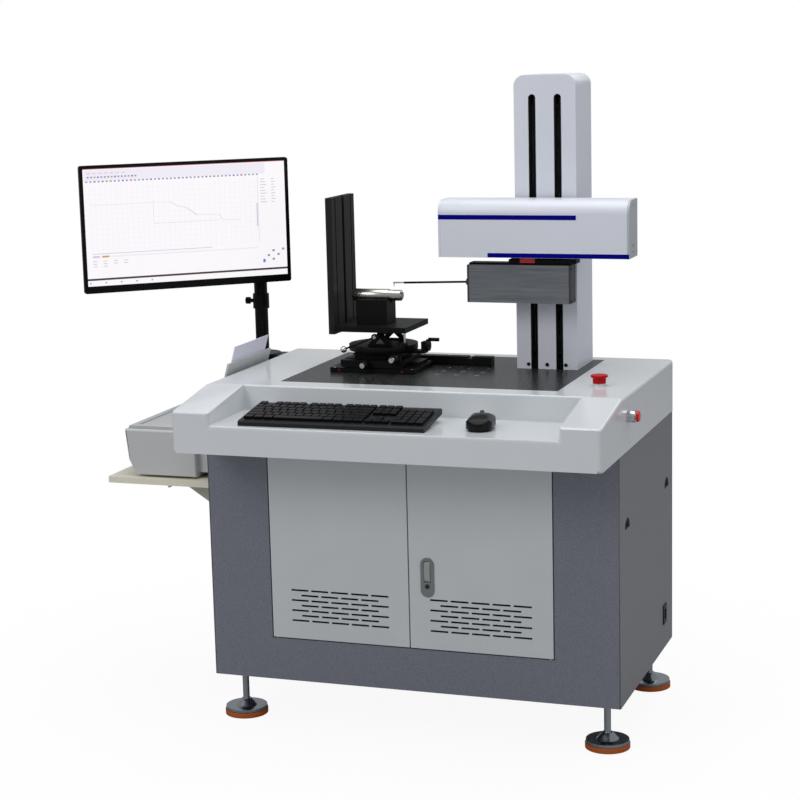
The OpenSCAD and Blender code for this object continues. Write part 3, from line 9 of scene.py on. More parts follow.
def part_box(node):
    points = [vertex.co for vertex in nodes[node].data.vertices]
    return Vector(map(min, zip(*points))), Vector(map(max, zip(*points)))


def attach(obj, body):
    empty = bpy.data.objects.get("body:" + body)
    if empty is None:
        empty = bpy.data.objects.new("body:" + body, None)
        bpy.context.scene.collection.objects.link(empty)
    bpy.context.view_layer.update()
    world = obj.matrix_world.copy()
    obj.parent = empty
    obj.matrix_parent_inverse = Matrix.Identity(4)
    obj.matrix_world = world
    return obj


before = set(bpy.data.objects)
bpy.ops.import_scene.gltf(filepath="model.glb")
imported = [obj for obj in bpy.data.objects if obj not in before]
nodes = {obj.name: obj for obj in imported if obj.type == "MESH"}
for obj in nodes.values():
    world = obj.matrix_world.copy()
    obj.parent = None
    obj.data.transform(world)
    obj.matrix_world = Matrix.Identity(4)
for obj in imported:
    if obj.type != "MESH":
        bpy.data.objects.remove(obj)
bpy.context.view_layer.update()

MM = 0.001
table_low, table_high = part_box("table_top")
# Sizes below are in millimetres from the middle of the table's front edge, on the floor
FRONT_MIDDLE = Vector(((table_low.x + table_high.x) / 2, table_low.y, 0))


def at(x, y, z):
    """Point in the scene for a place in millimetres."""
    return FRONT_MIDDLE + Vector((x, y, z)) * MM


def local_box(node):
    """Corners of a node in millimetres from the middle of the table's front edge."""
    low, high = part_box(node)
    return (low - FRONT_MIDDLE) / MM, (high - FRONT_MIDDLE) / MM


def linear(hex_colour):
    """Scene-linear colour of a screen colour such as #aaaeb0."""
    channels = [int(hex_colour[i:i + 2], 16) / 255 for i in (1, 3, 5)]
    return [c / 12.92 if c <= 0.04045 else ((c + 0.055) / 1.055) ** 2.4 for c in channels] + [1.0]


def shade(colour, factor):
    """A lighter or darker tone of a colour."""
    return [min(1.0, c * factor) for c in colour[:3]] + [1.0]


# Camera
# Place in millimetres, lens and sensor in millimetres, reach in metres
CAMERA_PLACE = (1454.57, -3941.09, 1592.20)
CAMERA_YAW = math.radians(19.577)
CAMERA_PITCH = math.radians(10.2277)
CAMERA_ROLL = math.radians(-1.4119)
CAMERA_LENS = 88.1
CAMERA_SENSOR = 36
CAMERA_REACH = 60


def add_camera():
    """The photo's viewpoint."""
    ahead = Vector((-math.sin(CAMERA_YAW) * math.cos(CAMERA_PITCH),
                    math.cos(CAMERA_YAW) * math.cos(CAMERA_PITCH), -math.sin(CAMERA_PITCH)))
    level = Vector((math.cos(CAMERA_YAW), math.sin(CAMERA_YAW), 0))
    upright = level.cross(ahead)
    right = level * math.cos(CAMERA_ROLL) + upright * math.sin(CAMERA_ROLL)
    up = upright * math.cos(CAMERA_ROLL) - level * math.sin(CAMERA_ROLL)
    data = bpy.data.cameras.new("photo_camera")
    data.lens = CAMERA_LENS
    data.sensor_width = CAMERA_SENSOR
    data.clip_end = CAMERA_REACH
    camera = bpy.data.objects.new("photo_camera", data)
    turn = Matrix((right, up, -ahead)).transposed().to_4x4()
    camera.matrix_world = Matrix.Translation(at(*CAMERA_PLACE)) @ turn
    bpy.context.scene.collection.objects.link(camera)
    bpy.context.scene.camera = camera


# Materials
# Noise lies mostly between these two values
NOISE_LOW = 0.3
NOISE_HIGH = 0.7
COAT_ROUGH = 0.08
# Brushed metal: noise scale along the scratches, spread of gloss, and strength and depth of the scratches
SCRATCH_STRETCH = 12.0
SCRATCH_GLOSS = 0.07
SCRATCH_BUMP = 0.15
SCRATCH_DEPTH = 0.00005


class Sheet:
    """A material's node tree with short calls for its common nodes."""

    def __init__(self, name):
        self.material = bpy.data.materials.new(name)
        self.material.use_nodes = True
        self.tree = self.material.node_tree
        self.tree.nodes.clear()
        self.out = self.add("ShaderNodeOutputMaterial")
        self.shader = self.add("ShaderNodeBsdfPrincipled")
        self.link(self.shader.outputs["BSDF"], self.out.inputs["Surface"])
        self.place = self.add("ShaderNodeTexCoord").outputs["Object"]

    def add(self, kind, **values):
        node = self.tree.nodes.new(kind)
        for key, value in values.items():
            setattr(node, key, value)
        return node

    def link(self, source, target):
        self.tree.links.new(source, target)

    def stretched(self, scale):
        mapping = self.add("ShaderNodeMapping")
        mapping.inputs["Scale"].default_value = scale
        self.link(self.place, mapping.inputs["Vector"])
        return mapping.outputs["Vector"]

    def noise(self, scale, detail=3.0, place=None):
        node = self.add("ShaderNodeTexNoise")
        node.inputs["Scale"].default_value = scale
        node.inputs["Detail"].default_value = detail
        self.link(place or self.place, node.inputs["Vector"])
        return node.outputs["Fac"]

    def cells(self, scale, feature="F1"):
        node = self.add("ShaderNodeTexVoronoi", feature=feature)
        node.inputs["Scale"].default_value = scale
        self.link(self.place, node.inputs["Vector"])
        return node

    def ramp(self, value, stops):
        node = self.add("ShaderNodeValToRGB")
        elements = node.color_ramp.elements
        while len(elements) < len(stops):
            elements.new(0.5)
        for element, (position, colour) in zip(elements, stops):
            element.position = position
            element.color = colour
        self.link(value, node.inputs["Fac"])
        return node.outputs["Color"]

    def two_tone(self, noise, dark, light):
        """Colour between two tones by noise."""
        return self.ramp(noise, [(NOISE_LOW, dark), (NOISE_HIGH, light)])

    def spread(self, value, low, high):
        """Noise stretched to a range of values."""
        node = self.add("ShaderNodeMapRange")
        node.inputs["From Min"].default_value = NOISE_LOW
        node.inputs["From Max"].default_value = NOISE_HIGH
        node.inputs["To Min"].default_value = low
        node.inputs["To Max"].default_value = high
        self.link(value, node.inputs["Value"])
        return node.outputs["Result"]

    def bump(self, height, strength, distance):
        node = self.add("ShaderNodeBump")
        node.inputs["Strength"].default_value = strength
        node.inputs["Distance"].default_value = distance
        self.link(height, node.inputs["Height"])
        self.link(node.outputs["Normal"], self.shader.inputs["Normal"])

    def set(self, **values):
        names = {"metal": "Metallic", "coat": "Coat Weight", "coat_rough": "Coat Roughness",
                 "specular": "Specular IOR Level", "rough": "Roughness"}
        for key, value in values.items():
            self.shader.inputs[names[key]].default_value = value


def coated(name, colour, rough, mottle=0.05, mottle_scale=9, grain_scale=1500, grain=0.12,
           grain_depth=0.0001, vary=0.05, metal=0.0, coat=0.0, specular=0.5):
    """Paint, moulded plastic or anodised metal: broad tone, fine grain, uneven gloss."""
    sheet = Sheet(name)
    base = linear(colour)
    broad = sheet.noise(mottle_scale, 4)
    fine = sheet.noise(grain_scale, 2)
    tone = sheet.two_tone(broad, shade(base, 1 - mottle), shade(base, 1 + mottle))
    sheet.link(tone, sheet.shader.inputs["Base Color"])
    sheet.link(sheet.spread(fine, rough - vary, rough + vary), sheet.shader.inputs["Roughness"])
    sheet.bump(fine, grain, grain_depth)
    sheet.set(metal=metal, coat=coat, coat_rough=COAT_ROUGH, specular=specular)
    return sheet.material


def brushed(name, colour, rough, along, metal=1.0, contrast=0.12, fineness=1400.0):
    """Metal with fine parallel scratches along one axis."""
    sheet = Sheet(name)
    base = linear(colour)
    scale = [fineness, fineness, fineness]
    scale["xyz".index(along)] = SCRATCH_STRETCH
    lines = sheet.noise(1.0, 3, sheet.stretched(scale))
    tone = sheet.two_tone(lines, shade(base, 1 - contrast), shade(base, 1 + contrast))
    sheet.link(tone, sheet.shader.inputs["Base Color"])
    gloss = sheet.spread(lines, rough - SCRATCH_GLOSS, rough + SCRATCH_GLOSS)
    sheet.link(gloss, sheet.shader.inputs["Roughness"])
    sheet.bump(lines, SCRATCH_BUMP, SCRATCH_DEPTH)
    sheet.set(metal=metal)
    return sheet.material


def hammertone(name, colour):
    """Cabinet paint with a fine pebbled skin and a slight sparkle."""
    sheet = Sheet(name)
    base = linear(colour)
    pebbles = sheet.cells(420, "SMOOTH_F1").outputs["Distance"]
    speck = sheet.noise(430, 2)
    tone = sheet.ramp(speck, [(0.32, shade(base, 0.82)), (0.68, shade(base, 1.18))])
    sheet.link(tone, sheet.shader.inputs["Base Color"])
    sheet.link(sheet.spread(speck, 0.38, 0.56), sheet.shader.inputs["Roughness"])
    sheet.bump(pebbles, 0.22, 0.0004)
    return sheet.material


def lapped_stone(name):
    """Black granite: dark grains with scattered pale and glassy specks."""
    sheet = Sheet(name)
    grains = sheet.cells(260).outputs["Color"]
    specks = sheet.noise(400, 4)
    dark = sheet.ramp(grains, [(0.2, linear("#0e0f10")), (0.8, linear("#2c2d2d"))])
    pale = sheet.ramp(specks, [(0.56, (0, 0, 0, 1)), (0.68, (0.12, 0.12, 0.115, 1))])
    mix = sheet.add("ShaderNodeMix", data_type="RGBA", blend_type="ADD")
    mix.inputs["Factor"].default_value = 1.0
    sheet.link(dark, mix.inputs[6])
    sheet.link(pale, mix.inputs[7])
    sheet.link(mix.outputs[2], sheet.shader.inputs["Base Color"])
    sheet.link(sheet.spread(specks, 0.22, 0.36), sheet.shader.inputs["Roughness"])
    sheet.bump(specks, 0.04, 0.0001)
    sheet.set(specular=0.14)
    return sheet.material


def paper_sheet(name):
    """Paper with faint fibres."""
    sheet = Sheet(name)
    base = linear("#e2e2f0")
    fibres = sheet.noise(700, 5)
    tone = sheet.two_tone(fibres, shade(base, 0.96), base)
    sheet.link(tone, sheet.shader.inputs["Base Color"])
    sheet.link(sheet.spread(fibres, 0.75, 0.9), sheet.shader.inputs["Roughness"])
    sheet.bump(fibres, 0.1, 0.0002)
    return sheet.material


def lit(name, colour, strength):
    """A glowing field of the screen."""
    sheet = Sheet(name)
    base = linear(colour)
    glow = sheet.two_tone(sheet.noise(40, 1), shade(base, 0.99), base)
    sheet.link(glow, sheet.shader.inputs["Emission Color"])
    sheet.shader.inputs["Emission Strength"].default_value = strength
    sheet.shader.inputs["Base Color"].default_value = (0.02, 0.02, 0.02, 1)
    sheet.set(rough=0.35)
    return sheet.material


finish = {
    "cabinet": hammertone("cabinet_paint", "#72757f"),
    "side": hammertone("side_paint", "#75777a"),
    "door": coated("door_paint", "#c6cacc", 0.42, mottle=0.02, grain_scale=1100, grain=0.15),
    "latch": coated("latch_steel", "#a3a7a4", 0.3, metal=0.4),
    "latch_rim": coated("latch_rim", "#7b807d", 0.34, metal=0.4),
    "lock": coated("lock_blue", "#10203f", 0.25),
    "foot": brushed("foot_steel", "#9da3a8", 0.2, "z"),
    "pad": coated("foot_rubber", "#b2561a", 0.7, mottle=0.1, grain_scale=600, grain=0.3),
    "table": coated("table_white", "#d3d7da", 0.2, mottle=0.015, mottle_scale=4, grain_scale=500,
                    grain=0.02, coat=0.4, vary=0.03),
    "granite": lapped_stone("granite"),
    "stop": coated("stop_red", "#ad080f", 0.4, mottle=0.03, specular=0.12),
    "stop_grey": coated("stop_grey", "#d9dcda", 0.32, mottle=0.02),
    "power": coated("power_red", "#e00a10", 0.2, mottle=0.03, specular=0.3),
    "bezel": brushed("bezel_silver", "#c6c9cb", 0.22, "x"),
    "plastic": coated("black_plastic", "#0f1012", 0.45, mottle=0.06, grain_scale=1800, grain=0.2,
                      specular=0.3),
    "keys": coated("key_caps", "#090a0b", 0.38, mottle=0.08, mottle_scale=60, grain_scale=2200, grain=0.2,
                   specular=0.12),
    "mouse": coated("mouse_shell", "#090a0b", 0.3, mottle=0.05, specular=0.17),
    "wheel": coated("wheel_rubber", "#2b2c2e", 0.65),
    "pole": coated("pole_black", "#09090a", 0.33, mottle=0.05, specular=0.12),
    "bezel_black": coated("screen_frame", "#070708", 0.3, mottle=0.03, specular=0.1),
    "shelf": coated("shelf_ivory", "#e2decb", 0.35, mottle=0.02, grain_scale=500, grain=0.05),
    "bracket": coated("bracket_steel", "#c9c7b7", 0.42, mottle=0.05),
    "printer": coated("printer_grey", "#bfc1c1", 0.48, mottle=0.02, grain_scale=1300, grain=0.2),
    "printer_dark": coated("printer_lid", "#b5b7b7", 0.42, mottle=0.02, grain_scale=1300, grain=0.2),
    "paper": paper_sheet("paper"),
    "white": coated("instrument_white", "#dadde6", 0.36, mottle=0.015, grain_scale=900, grain=0.08),
    "cap": coated("cap_grey", "#b4b8bc", 0.4, mottle=0.02),
    "navy": coated("stripe_navy", "#02027e", 0.4, mottle=0.03, specular=0.05),
    "casting": coated("casting_grey", "#a9acb4", 0.5, mottle=0.05, grain_scale=400, grain=0.2),
    "steel": brushed("screw_steel", "#b4b7ba", 0.3, "x"),
    "lift_steel": brushed("lift_steel", "#b4b7ba", 0.3, "z"),
    "sensor": brushed("sensor_grey", "#74787c", 0.45, "x", metal=0.5, contrast=0.17, fineness=300.0),
    "sensor_dark": coated("sensor_ends", "#3a3d40", 0.45, metal=0.2),
    "black": coated("black_anodised", "#0d0d0e", 0.46, mottle=0.08, grain_scale=1600, grain=0.15,
                    specular=0.12),
    "black_flat": coated("black_matt", "#0c0c0d", 0.7, mottle=0.08, specular=0.05),
    "plate": coated("plate_black", "#20201e", 0.45, mottle=0.08, grain_scale=1600, grain=0.15, specular=0.15),
    "pin": brushed("pin_steel", "#bcbab3", 0.24, "x"),
    "silver": coated("bright_steel", "#cdd0d2", 0.22, metal=1.0),
    "red": coated("red_mark", "#c4262b", 0.4),
    "index": coated("index_red", "#86191c", 0.5, specular=0.2),
    # Painted shade: a darker copy of the side paint for the recessed finger scoops
    "scoop": hammertone("painted_scoop_shade", "#4c4e51"),
    "screen_dark": coated("screen_back", "#15161a", 0.3),
}

node_finish = {
    "cabinet_frame": "cabinet", "side_panels": "side", "power_inlet": "plastic", "left_door": "door",
    "right_door": "door", "latch_plate": "latch_rim", "latch_paddle": "latch", "lock_cylinder": "lock",
    "levelling_feet": "foot", "foot_pads": "pad", "control_computer": "plastic", "table_top": "table",
    "granite_plate": "granite", "estop_collar": "stop_grey", "estop_button": "stop",
    "power_button_bezel": "bezel", "power_button_cap": "power", "keyboard_case": "plastic",
    "keyboard_keys": "keys", "mouse_body": "mouse", "mouse_wheel": "wheel", "monitor_pole": "pole",
    "monitor_arm": "pole", "tilt_head": "pole", "monitor_back": "plastic", "monitor_bezel": "bezel_black",
    "screen_panel": "screen_dark", "shelf_plate": "shelf", "shelf_brackets": "bracket",
    "printer_body": "printer", "printer_lid": "printer_dark", "paper_support": "printer",
    "paper_stack": "paper", "output_tray": "printer", "column_spine": "casting", "column_cover": "white",
    "slot_brushes": "black_flat", "z_screw": "lift_steel", "traverse_beam": "casting",
    "traverse_housing": "white", "housing_end_caps": "white", "x_screw": "steel", "x_carriage": "black",
    "sensor_body": "sensor", "sensor_end_plates": "sensor_dark", "stylus": "steel", "stage_base": "black",
    "cross_slide": "black", "top_slide": "black", "turntable": "black", "tilt_platform": "black",
    "tilt_screw": "silver", "tilt_lock_lever": "black", "x_knob": "black", "y_knob": "black",
    "turntable_crank": "black", "angle_plate": "plate", "v_block": "black", "test_pin": "pin",
    "alignment_rail": "black",
}

# Width of each node's softened edges, millimetres
edge_width = {
    "table_top": 9.0, "cabinet_frame": 1.5, "side_panels": 1.2, "left_door": 1.2, "right_door": 1.2,
    "granite_plate": 1.0, "keyboard_case": 1.5, "keyboard_keys": 1.4, "mouse_body": 3.0,
    "monitor_bezel": 1.0, "monitor_back": 3.0, "printer_body": 5.0, "printer_lid": 2.0,
    "output_tray": 1.0, "paper_support": 1.0, "paper_stack": 0.2, "shelf_plate": 2.0,
    "column_cover": 2.0, "traverse_housing": 1.0, "housing_end_caps": 1.5, "sensor_body": 0.6,
    "sensor_end_plates": 0.6, "foot_pads": 3.0, "levelling_feet": 1.0, "control_computer": 4.0,
}
PLAIN_EDGE = 0.5
PLAIN_SEGMENTS = 2
SOFT_SEGMENTS = 3
WIDE_SEGMENTS = 5
BEVEL_ANGLE = math.radians(35)
WELD_DISTANCE = 0.00001
# Two neighbouring facets whose normals agree this well lie in one plane
ONE_PLANE = 0.99999


def face_users(mesh):
    """The faces on either side of each edge, by the edge's two vertices."""
    users = {}
    for polygon in mesh.polygons:
        for key in polygon.edge_keys:
            users.setdefault(key, []).append(polygon)
    return users


def smooth_round_faces(mesh):
    """Smooth shading for round surfaces only, so that plane faces stay plane."""
    for polygon in mesh.polygons:
        polygon.use_smooth = False
    for pair in face_users(mesh).values():
        if len(pair) == 2 and pair[0].normal.dot(pair[1].normal) < ONE_PLANE:
            pair[0].use_smooth = True
            pair[1].use_smooth = True


def weigh_edges(mesh, rule):
    """Gives each outline edge of the faces its share of the softening."""
    users = face_users(mesh)
    weights = mesh.attributes.new("bevel_weight_edge", "FLOAT", "EDGE")
    for edge in mesh.edges:
        ends = [(mesh.vertices[i].co - FRONT_MIDDLE) / MM for i in edge.vertices]
        outline = len(users[edge.key]) == 1
        weights.data[edge.index].value = rule(*ends) if outline else 0.0


# Shortest edge that is not part of a round hole, and the tray's back and floor with a little to spare
HOLE_FACET = 3
TRAY_BACK = 202
TRAY_DROP = 62
# Points this close to a plane lie in it
TOUCH = 0.1


def table_edge(a, b):
    """Full softening for the table's outside, half of it for the tray, none for the lower rim."""
    half_w = (table_high.x - table_low.x) / MM / 2
    depth = (table_high.y - table_low.y) / MM
    if (a - b).length < HOLE_FACET or max(a.z, b.z) < table_low.z / MM + 1:
        return 0.0
    for off in (lambda p: half_w - abs(p.x), lambda p: p.y, lambda p: depth - p.y):
        if max(abs(off(a)), abs(off(b))) < TOUCH:
            return 1.0
    in_tray = max(a.y, b.y) < TRAY_BACK and min(a.z, b.z) > table_high.z / MM - TRAY_DROP
    return 0.5 if in_tray else 0.0


def printer_edge(a, b):
    """Softening for the outline of the printer's front."""
    front = local_box("printer_body")[0].y
    return 1.0 if max(a.y, b.y) < front + TOUCH else 0.0


edge_rule = {"table_top": table_edge, "printer_body": printer_edge}
# Nodes without a plane face to keep
all_round = {"mouse_body", "latch_paddle"}


def dress_node(name, node):
    """Gives a node its finish, its softened edges and its shading."""
    node.data.materials.clear()
    node.data.materials.append(finish[node_finish[name]])
    weld = node.modifiers.new("weld", "WELD")
    weld.merge_threshold = WELD_DISTANCE
    bevel = node.modifiers.new("soft_edges", "BEVEL")
    bevel.width = edge_width.get(name, PLAIN_EDGE) * MM
    bevel.segments = SOFT_SEGMENTS if name in edge_width else PLAIN_SEGMENTS
    bevel.limit_method = "ANGLE"
    bevel.angle_limit = BEVEL_ANGLE
    bevel.harden_normals = True
    if name in edge_rule:
        weigh_edges(node.data, edge_rule[name])
        bevel.limit_method = "WEIGHT"
        bevel.use_clamp_overlap = False
        bevel.segments = WIDE_SEGMENTS
    if name in all_round:
        node.data.shade_smooth()
    else:
        smooth_round_faces(node.data)


def recolour(name, finish_name, rule):
    """Gives the faces of a node whose middle passes the rule another finish."""
    mesh = nodes[name].data
    mesh.materials.append(finish[finish_name])
    slot = len(mesh.materials) - 1
    for polygon in mesh.polygons:
        if rule((polygon.center - FRONT_MIDDLE) / MM):
            polygon.material_index = slot


# New pieces
def piece(name, mesh_builder, finish_name, body):
    """A new mesh that rides on a body."""
    mesh = bpy.data.meshes.new(name)
    builder = bmesh.new()
    mesh_builder(builder)
    bmesh.ops.recalc_face_normals(builder, faces=builder.faces)
    builder.to_mesh(mesh)
    builder.free()
    made = bpy.data.objects.new(name, mesh)
    bpy.context.scene.collection.objects.link(made)
    mesh.materials.append(finish[finish_name])
    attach(made, body)
    return made


def add_block(builder, low, high):
    """A box between two corners, in millimetres."""
    low, high = at(*low), at(*high)
    middle = (low + high) / 2
    size = high - low
    placed = Matrix.Translation(middle) @ Matrix.Diagonal((*size, 1))
    bmesh.ops.create_cube(builder, size=1.0, matrix=placed)


def soften(made, width, segments=PLAIN_SEGMENTS):
    """Rounds the edges of a new piece, in millimetres."""
    bevel = made.modifiers.new("soft_edges", "BEVEL")
    bevel.width = width * MM
    bevel.segments = segments
    bevel.limit_method = "ANGLE"
    bevel.harden_normals = True
    for polygon in made.data.polygons:
        polygon.use_smooth = True


def lathe(builder, profile, place, axis, sides):
    """Turns (radius, height) points in millimetres about an axis through a place."""
    turn = Vector((0, 0, 1)).rotation_difference(Vector(axis)).to_matrix().to_4x4()
    placed = Matrix.Translation(at(*place)) @ turn
    rings = []
    for radius, height in profile:
        ring = []
        for i in range(sides):
            angle = 2 * math.pi * i / sides
            point = Vector((radius * math.cos(angle), radius * math.sin(angle), height)) * MM
            ring.append(builder.verts.new(placed @ point))
        rings.append(ring)
    for lower, upper in zip(rings, rings[1:]):
        for i in range(sides):
            builder.faces.new((lower[i], lower[(i + 1) % sides], upper[(i + 1) % sides], upper[i]))
    return rings


def add_screw(builder, place, axis, radius, head):
    """A socket head screw: turned head with a sunk six-sided socket."""
    socket = radius * 0.5
    rim = radius * 0.88
    shoulder = head * 0.85
    socket_floor = head * 0.4
    outline = [(radius, 0), (radius, shoulder), (rim, head), (socket, head)]
    rings = lathe(builder, outline, place, axis, sides=24)
    well = lathe(builder, [(socket, head), (socket * 0.95, socket_floor)], place, axis, sides=6)
    builder.faces.new(well[1])
    builder.faces.new(rings[0])


def add_screws(name, places, axis, radius, head, finish_name, body):
    """Equal screws as one piece."""
    def build(builder):
        for place in places:
            add_screw(builder, place, axis, radius, head)

    piece(name, build, finish_name, body)


# Screen
# Turn of the screen about the upright axis
SCREEN_TURN = math.radians(40)
# Metres: panel, part of it under the frame's lip, gap to the picture and step between its layers
PANEL_T = 0.010
UNDER_LIP = 0.0057
PICTURE_GAP = 0.0001
LAYER_STEP = 0.00008
TRACE_STEPS = 8
screen_fields = {
    "page": lit("screen_page", "#fbf8fc", 0.97),
    "bar": lit("screen_bar", "#f1eef8", 0.94),
    "grid": lit("screen_grid", "#f1edf6", 0.94),
    "line": lit("screen_line", "#d6cfdf", 0.9),
    "blush": lit("screen_blush", "#efd3da", 0.93),
    "faint": lit("screen_faint", "#e6e0ea", 0.92),
    "trace": lit("screen_trace", "#a79cc0", 0.85),
    "blue": lit("screen_blue", "#6f86c9", 0.85),
    "orange": lit("screen_orange", "#d9a85e", 0.85),
    "green": lit("screen_green", "#86b987", 0.85),
    "red": lit("screen_red", "#cf6f7c", 0.85),
    "task": lit("screen_task", "#4a3340", 0.6),
}


class Picture:
    """Fields of colour just in front of the panel, in shares of the screen, x to the right and y down."""

    def __init__(self):
        self.builder = bmesh.new()
        self.kinds = list(screen_fields)
        low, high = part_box("screen_panel")
        self.middle = (low + high) / 2
        self.across = Vector((math.cos(SCREEN_TURN), math.sin(SCREEN_TURN), 0))
        self.outward = Vector((math.sin(SCREEN_TURN), -math.cos(SCREEN_TURN), 0))
        self.width = (high.x - low.x - PANEL_T * self.across.y) / self.across.x - UNDER_LIP
        self.height = high.z - low.z - UNDER_LIP

    def field(self, kind, x0, y0, x1, y1, layer):
        """A rectangle between two corners."""
        lift = self.outward * (PANEL_T / 2 + PICTURE_GAP + layer * LAYER_STEP)
        corners = ((x0, y1), (x1, y1), (x1, y0), (x0, y0))
        points = [self.middle + lift + self.across * self.width * (x - 0.5)
                  + Vector((0, 0, self.height * (0.5 - y))) for x, y in corners]
        face = self.builder.faces.new([self.builder.verts.new(p) for p in points])
        face.material_index = self.kinds.index(kind)

    def row(self, kinds, count, x, y, pitch, width, height, layer=2):
        """Equal marks side by side, their kinds in turn."""
        for i in range(count):
            left = x + i * pitch
            self.field(kinds[i % len(kinds)], left, y, left + width, y + height, layer)

    def stroke(self, kind, start, end, layer):
        """A thin line of short steps."""
        (x0, y0), (x1, y1) = start, end
        for k in range(TRACE_STEPS):
            xa = x0 + (x1 - x0) * k / TRACE_STEPS
            xb = x0 + (x1 - x0) * (k + 1) / TRACE_STEPS
            ya = y0 + (y1 - y0) * k / TRACE_STEPS
            yb = y0 + (y1 - y0) * (k + 1) / TRACE_STEPS
            self.field(kind, xa, ya - 0.001, xb + 0.001, yb + 0.002, layer)


def draw_toolbars(picture):
    """Menu row and two rows of small coloured marks."""
    picture.field("red", 0, 0, 1, 0.005, 1)
    picture.field("bar", 0.005, 0.012, 0.9, 0.105, 1)
    picture.row(("line",), 7, x=0.02, y=0.036, pitch=0.028, width=0.016, height=0.008)
    picture.row(("trace", "trace", "orange", "blue", "trace"), 15,
                x=0.02, y=0.066, pitch=0.0165, width=0.009, height=0.014)
    picture.row(("trace", "trace", "blue", "trace", "red", "trace", "green"), 44,
                x=0.012, y=0.104, pitch=0.0196, width=0.010, height=0.013)


def draw_chart(picture):
    """Grid, the measured profile and the two reference lines."""
    for i in range(1, 14):
        y = 0.13 + i * 0.043
        picture.field("grid", 0.03, y, 0.855, y + 0.0015, 1)
    picture.row(("grid",), 33, x=0.03, y=0.135, pitch=0.0255, width=0.001, height=0.58, layer=1)
    profile = [(0.03, 0.31), (0.42, 0.31), (0.45, 0.345), (0.50, 0.37), (0.55, 0.435), (0.66, 0.44),
               (0.68, 0.49), (0.77, 0.495)]
    for start, end in zip(profile, profile[1:]):
        picture.stroke("faint", start, end, 3)
    picture.field("blush", 0.335, 0.29, 0.337, 0.49, 2)
    picture.field("blush", 0.335, 0.488, 0.66, 0.492, 2)


def draw_side_list(picture):
    """Scroll bar and two columns of short marks at the right."""
    picture.field("line", 0.86, 0.13, 0.862, 0.70, 1)
    picture.field("line", 0.852, 0.36, 0.858, 0.56, 2)
    for i in range(9):
        y = 0.15 + i * 0.025
        picture.field("line", 0.875, y, 0.895 + (i % 3) * 0.006, y + 0.007, 2)
        picture.field("line", 0.93, y, 0.945 + (i % 2) * 0.006, y + 0.007, 2)


def draw_footer(picture):
    """Tabs, a small table, arrow keys and the bar at the bottom."""
    picture.field("line", 0.03, 0.722, 0.62, 0.728, 1)
    picture.field("line", 0.03, 0.742, 0.065, 0.758, 2)
    picture.field("orange", 0.075, 0.742, 0.11, 0.758, 2)
    picture.field("bar", 0.115, 0.745, 0.855, 0.757, 1)
    for column in range(4):
        for row in range(3 - column // 2):
            x = 0.03 + column * 0.05
            y = 0.785 + row * 0.022
            picture.field("line", x, y, x + 0.02, y + 0.007, 2)
    for x, y in ((0.925, 0.775), (0.975, 0.765), (0.90, 0.815), (0.95, 0.81), (0.925, 0.85)):
        picture.field("trace", x, y, x + 0.013, y + 0.018, 2)
    picture.field("blue", 0.877, 0.855, 0.889, 0.885, 2)
    picture.field("task", 0, 0.935, 1, 0.952, 1)
    picture.row(("blue",), 5, x=0.01, y=0.97, pitch=0.075, width=0.008, height=0.010)


def add_screen():
    """The lit picture on the screen."""
    picture = Picture()
    picture.field("page", 0, 0, 1, 1, 0)
    draw_toolbars(picture)
    draw_chart(picture)
    draw_side_list(picture)
    draw_footer(picture)
    mesh = bpy.data.meshes.new("screen_picture")
    picture.builder.to_mesh(mesh)
    picture.builder.free()
    made = bpy.data.objects.new("screen_picture", mesh)
    for kind in picture.kinds:
        mesh.materials.append(screen_fields[kind])
    bpy.context.scene.collection.objects.link(made)
    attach(made, "monitor")


# Small pieces
INSERT_FIRST = (-4, 425)
INSERT_PITCH = 50
INSERT_ROWS = 3
# Radius and height of the points of a sleeve's outline
insert_profile = [(3.05, -6), (3.05, 0.15), (5.6, 0.15), (6.0, 0.02)]


def add_insert_rings():
    """Bright sleeves round the granite's threaded holes."""
    first_x, first_y = INSERT_FIRST
    top = local_box("granite_plate")[1].z
    steps = [INSERT_PITCH * i for i in range(INSERT_ROWS)]
    places = [(first_x + dx, first_y + dy, top) for dx in steps for dy in steps]

    def build(builder):
        for place in places:
            lathe(builder, insert_profile, place, (0, 0, 1), sides=28)

    made = piece("insert_rings", build, "silver", "workstation")
    soften(made, width=0.1, segments=1)


def add_stripes():
    """Two plain navy bands on the housing's front."""
    low, high = local_box("housing_end_caps")
    front = low.y - 0.25
    back = low.y + 0.5
    inset = 0.5
    band = 11
    upper_z = low.z + 89
    upper_end = low.x + 335
    lower_start = low.x + 121

    def build(builder):
        add_block(builder, (low.x + inset, front, upper_z), (upper_end, back, upper_z + band))
        add_block(builder, (lower_start, front, low.z + inset), (high.x - inset, back, low.z + band))

    made = piece("housing_stripes", build, "navy", "traverse")
    soften(made, width=0.1, segments=1)


def add_column_screws():
    """Screws across the foot of the column's front."""
    low, high = local_box("column_cover")
    middle = (low.x + high.x) / 2
    pitch = 46
    up = 11.4
    places = [(middle + dx, low.y, low.z + up) for dx in (-pitch, 0, pitch)]
    add_screws("column_screws", places, (0, -1, 0), radius=4.2, head=3.0, finish_name="black",
               body="workstation")


def add_cap_screws():
    """Screws in the housing's right end cap."""
    low, high = local_box("housing_end_caps")
    places = [(high.x, low.y + dy, low.z + dz) for dy in (38, 76) for dz in (14, 122)]
    add_screws("cap_screws", places, (1, 0, 0), radius=2.6, head=1.2, finish_name="silver",
               body="traverse")


def add_rail_screws():
    """Screws along the top of the alignment rail."""
    low, high = local_box("alignment_rail")
    middle = (low.y + high.y) / 2
    first = 40
    pitch = 70
    places = [(low.x + first + pitch * i, middle, high.z) for i in range(4)]
    add_screws("rail_screws", places, (0, 0, 1), radius=4.0, head=1.5, finish_name="silver",
               body="workstation")


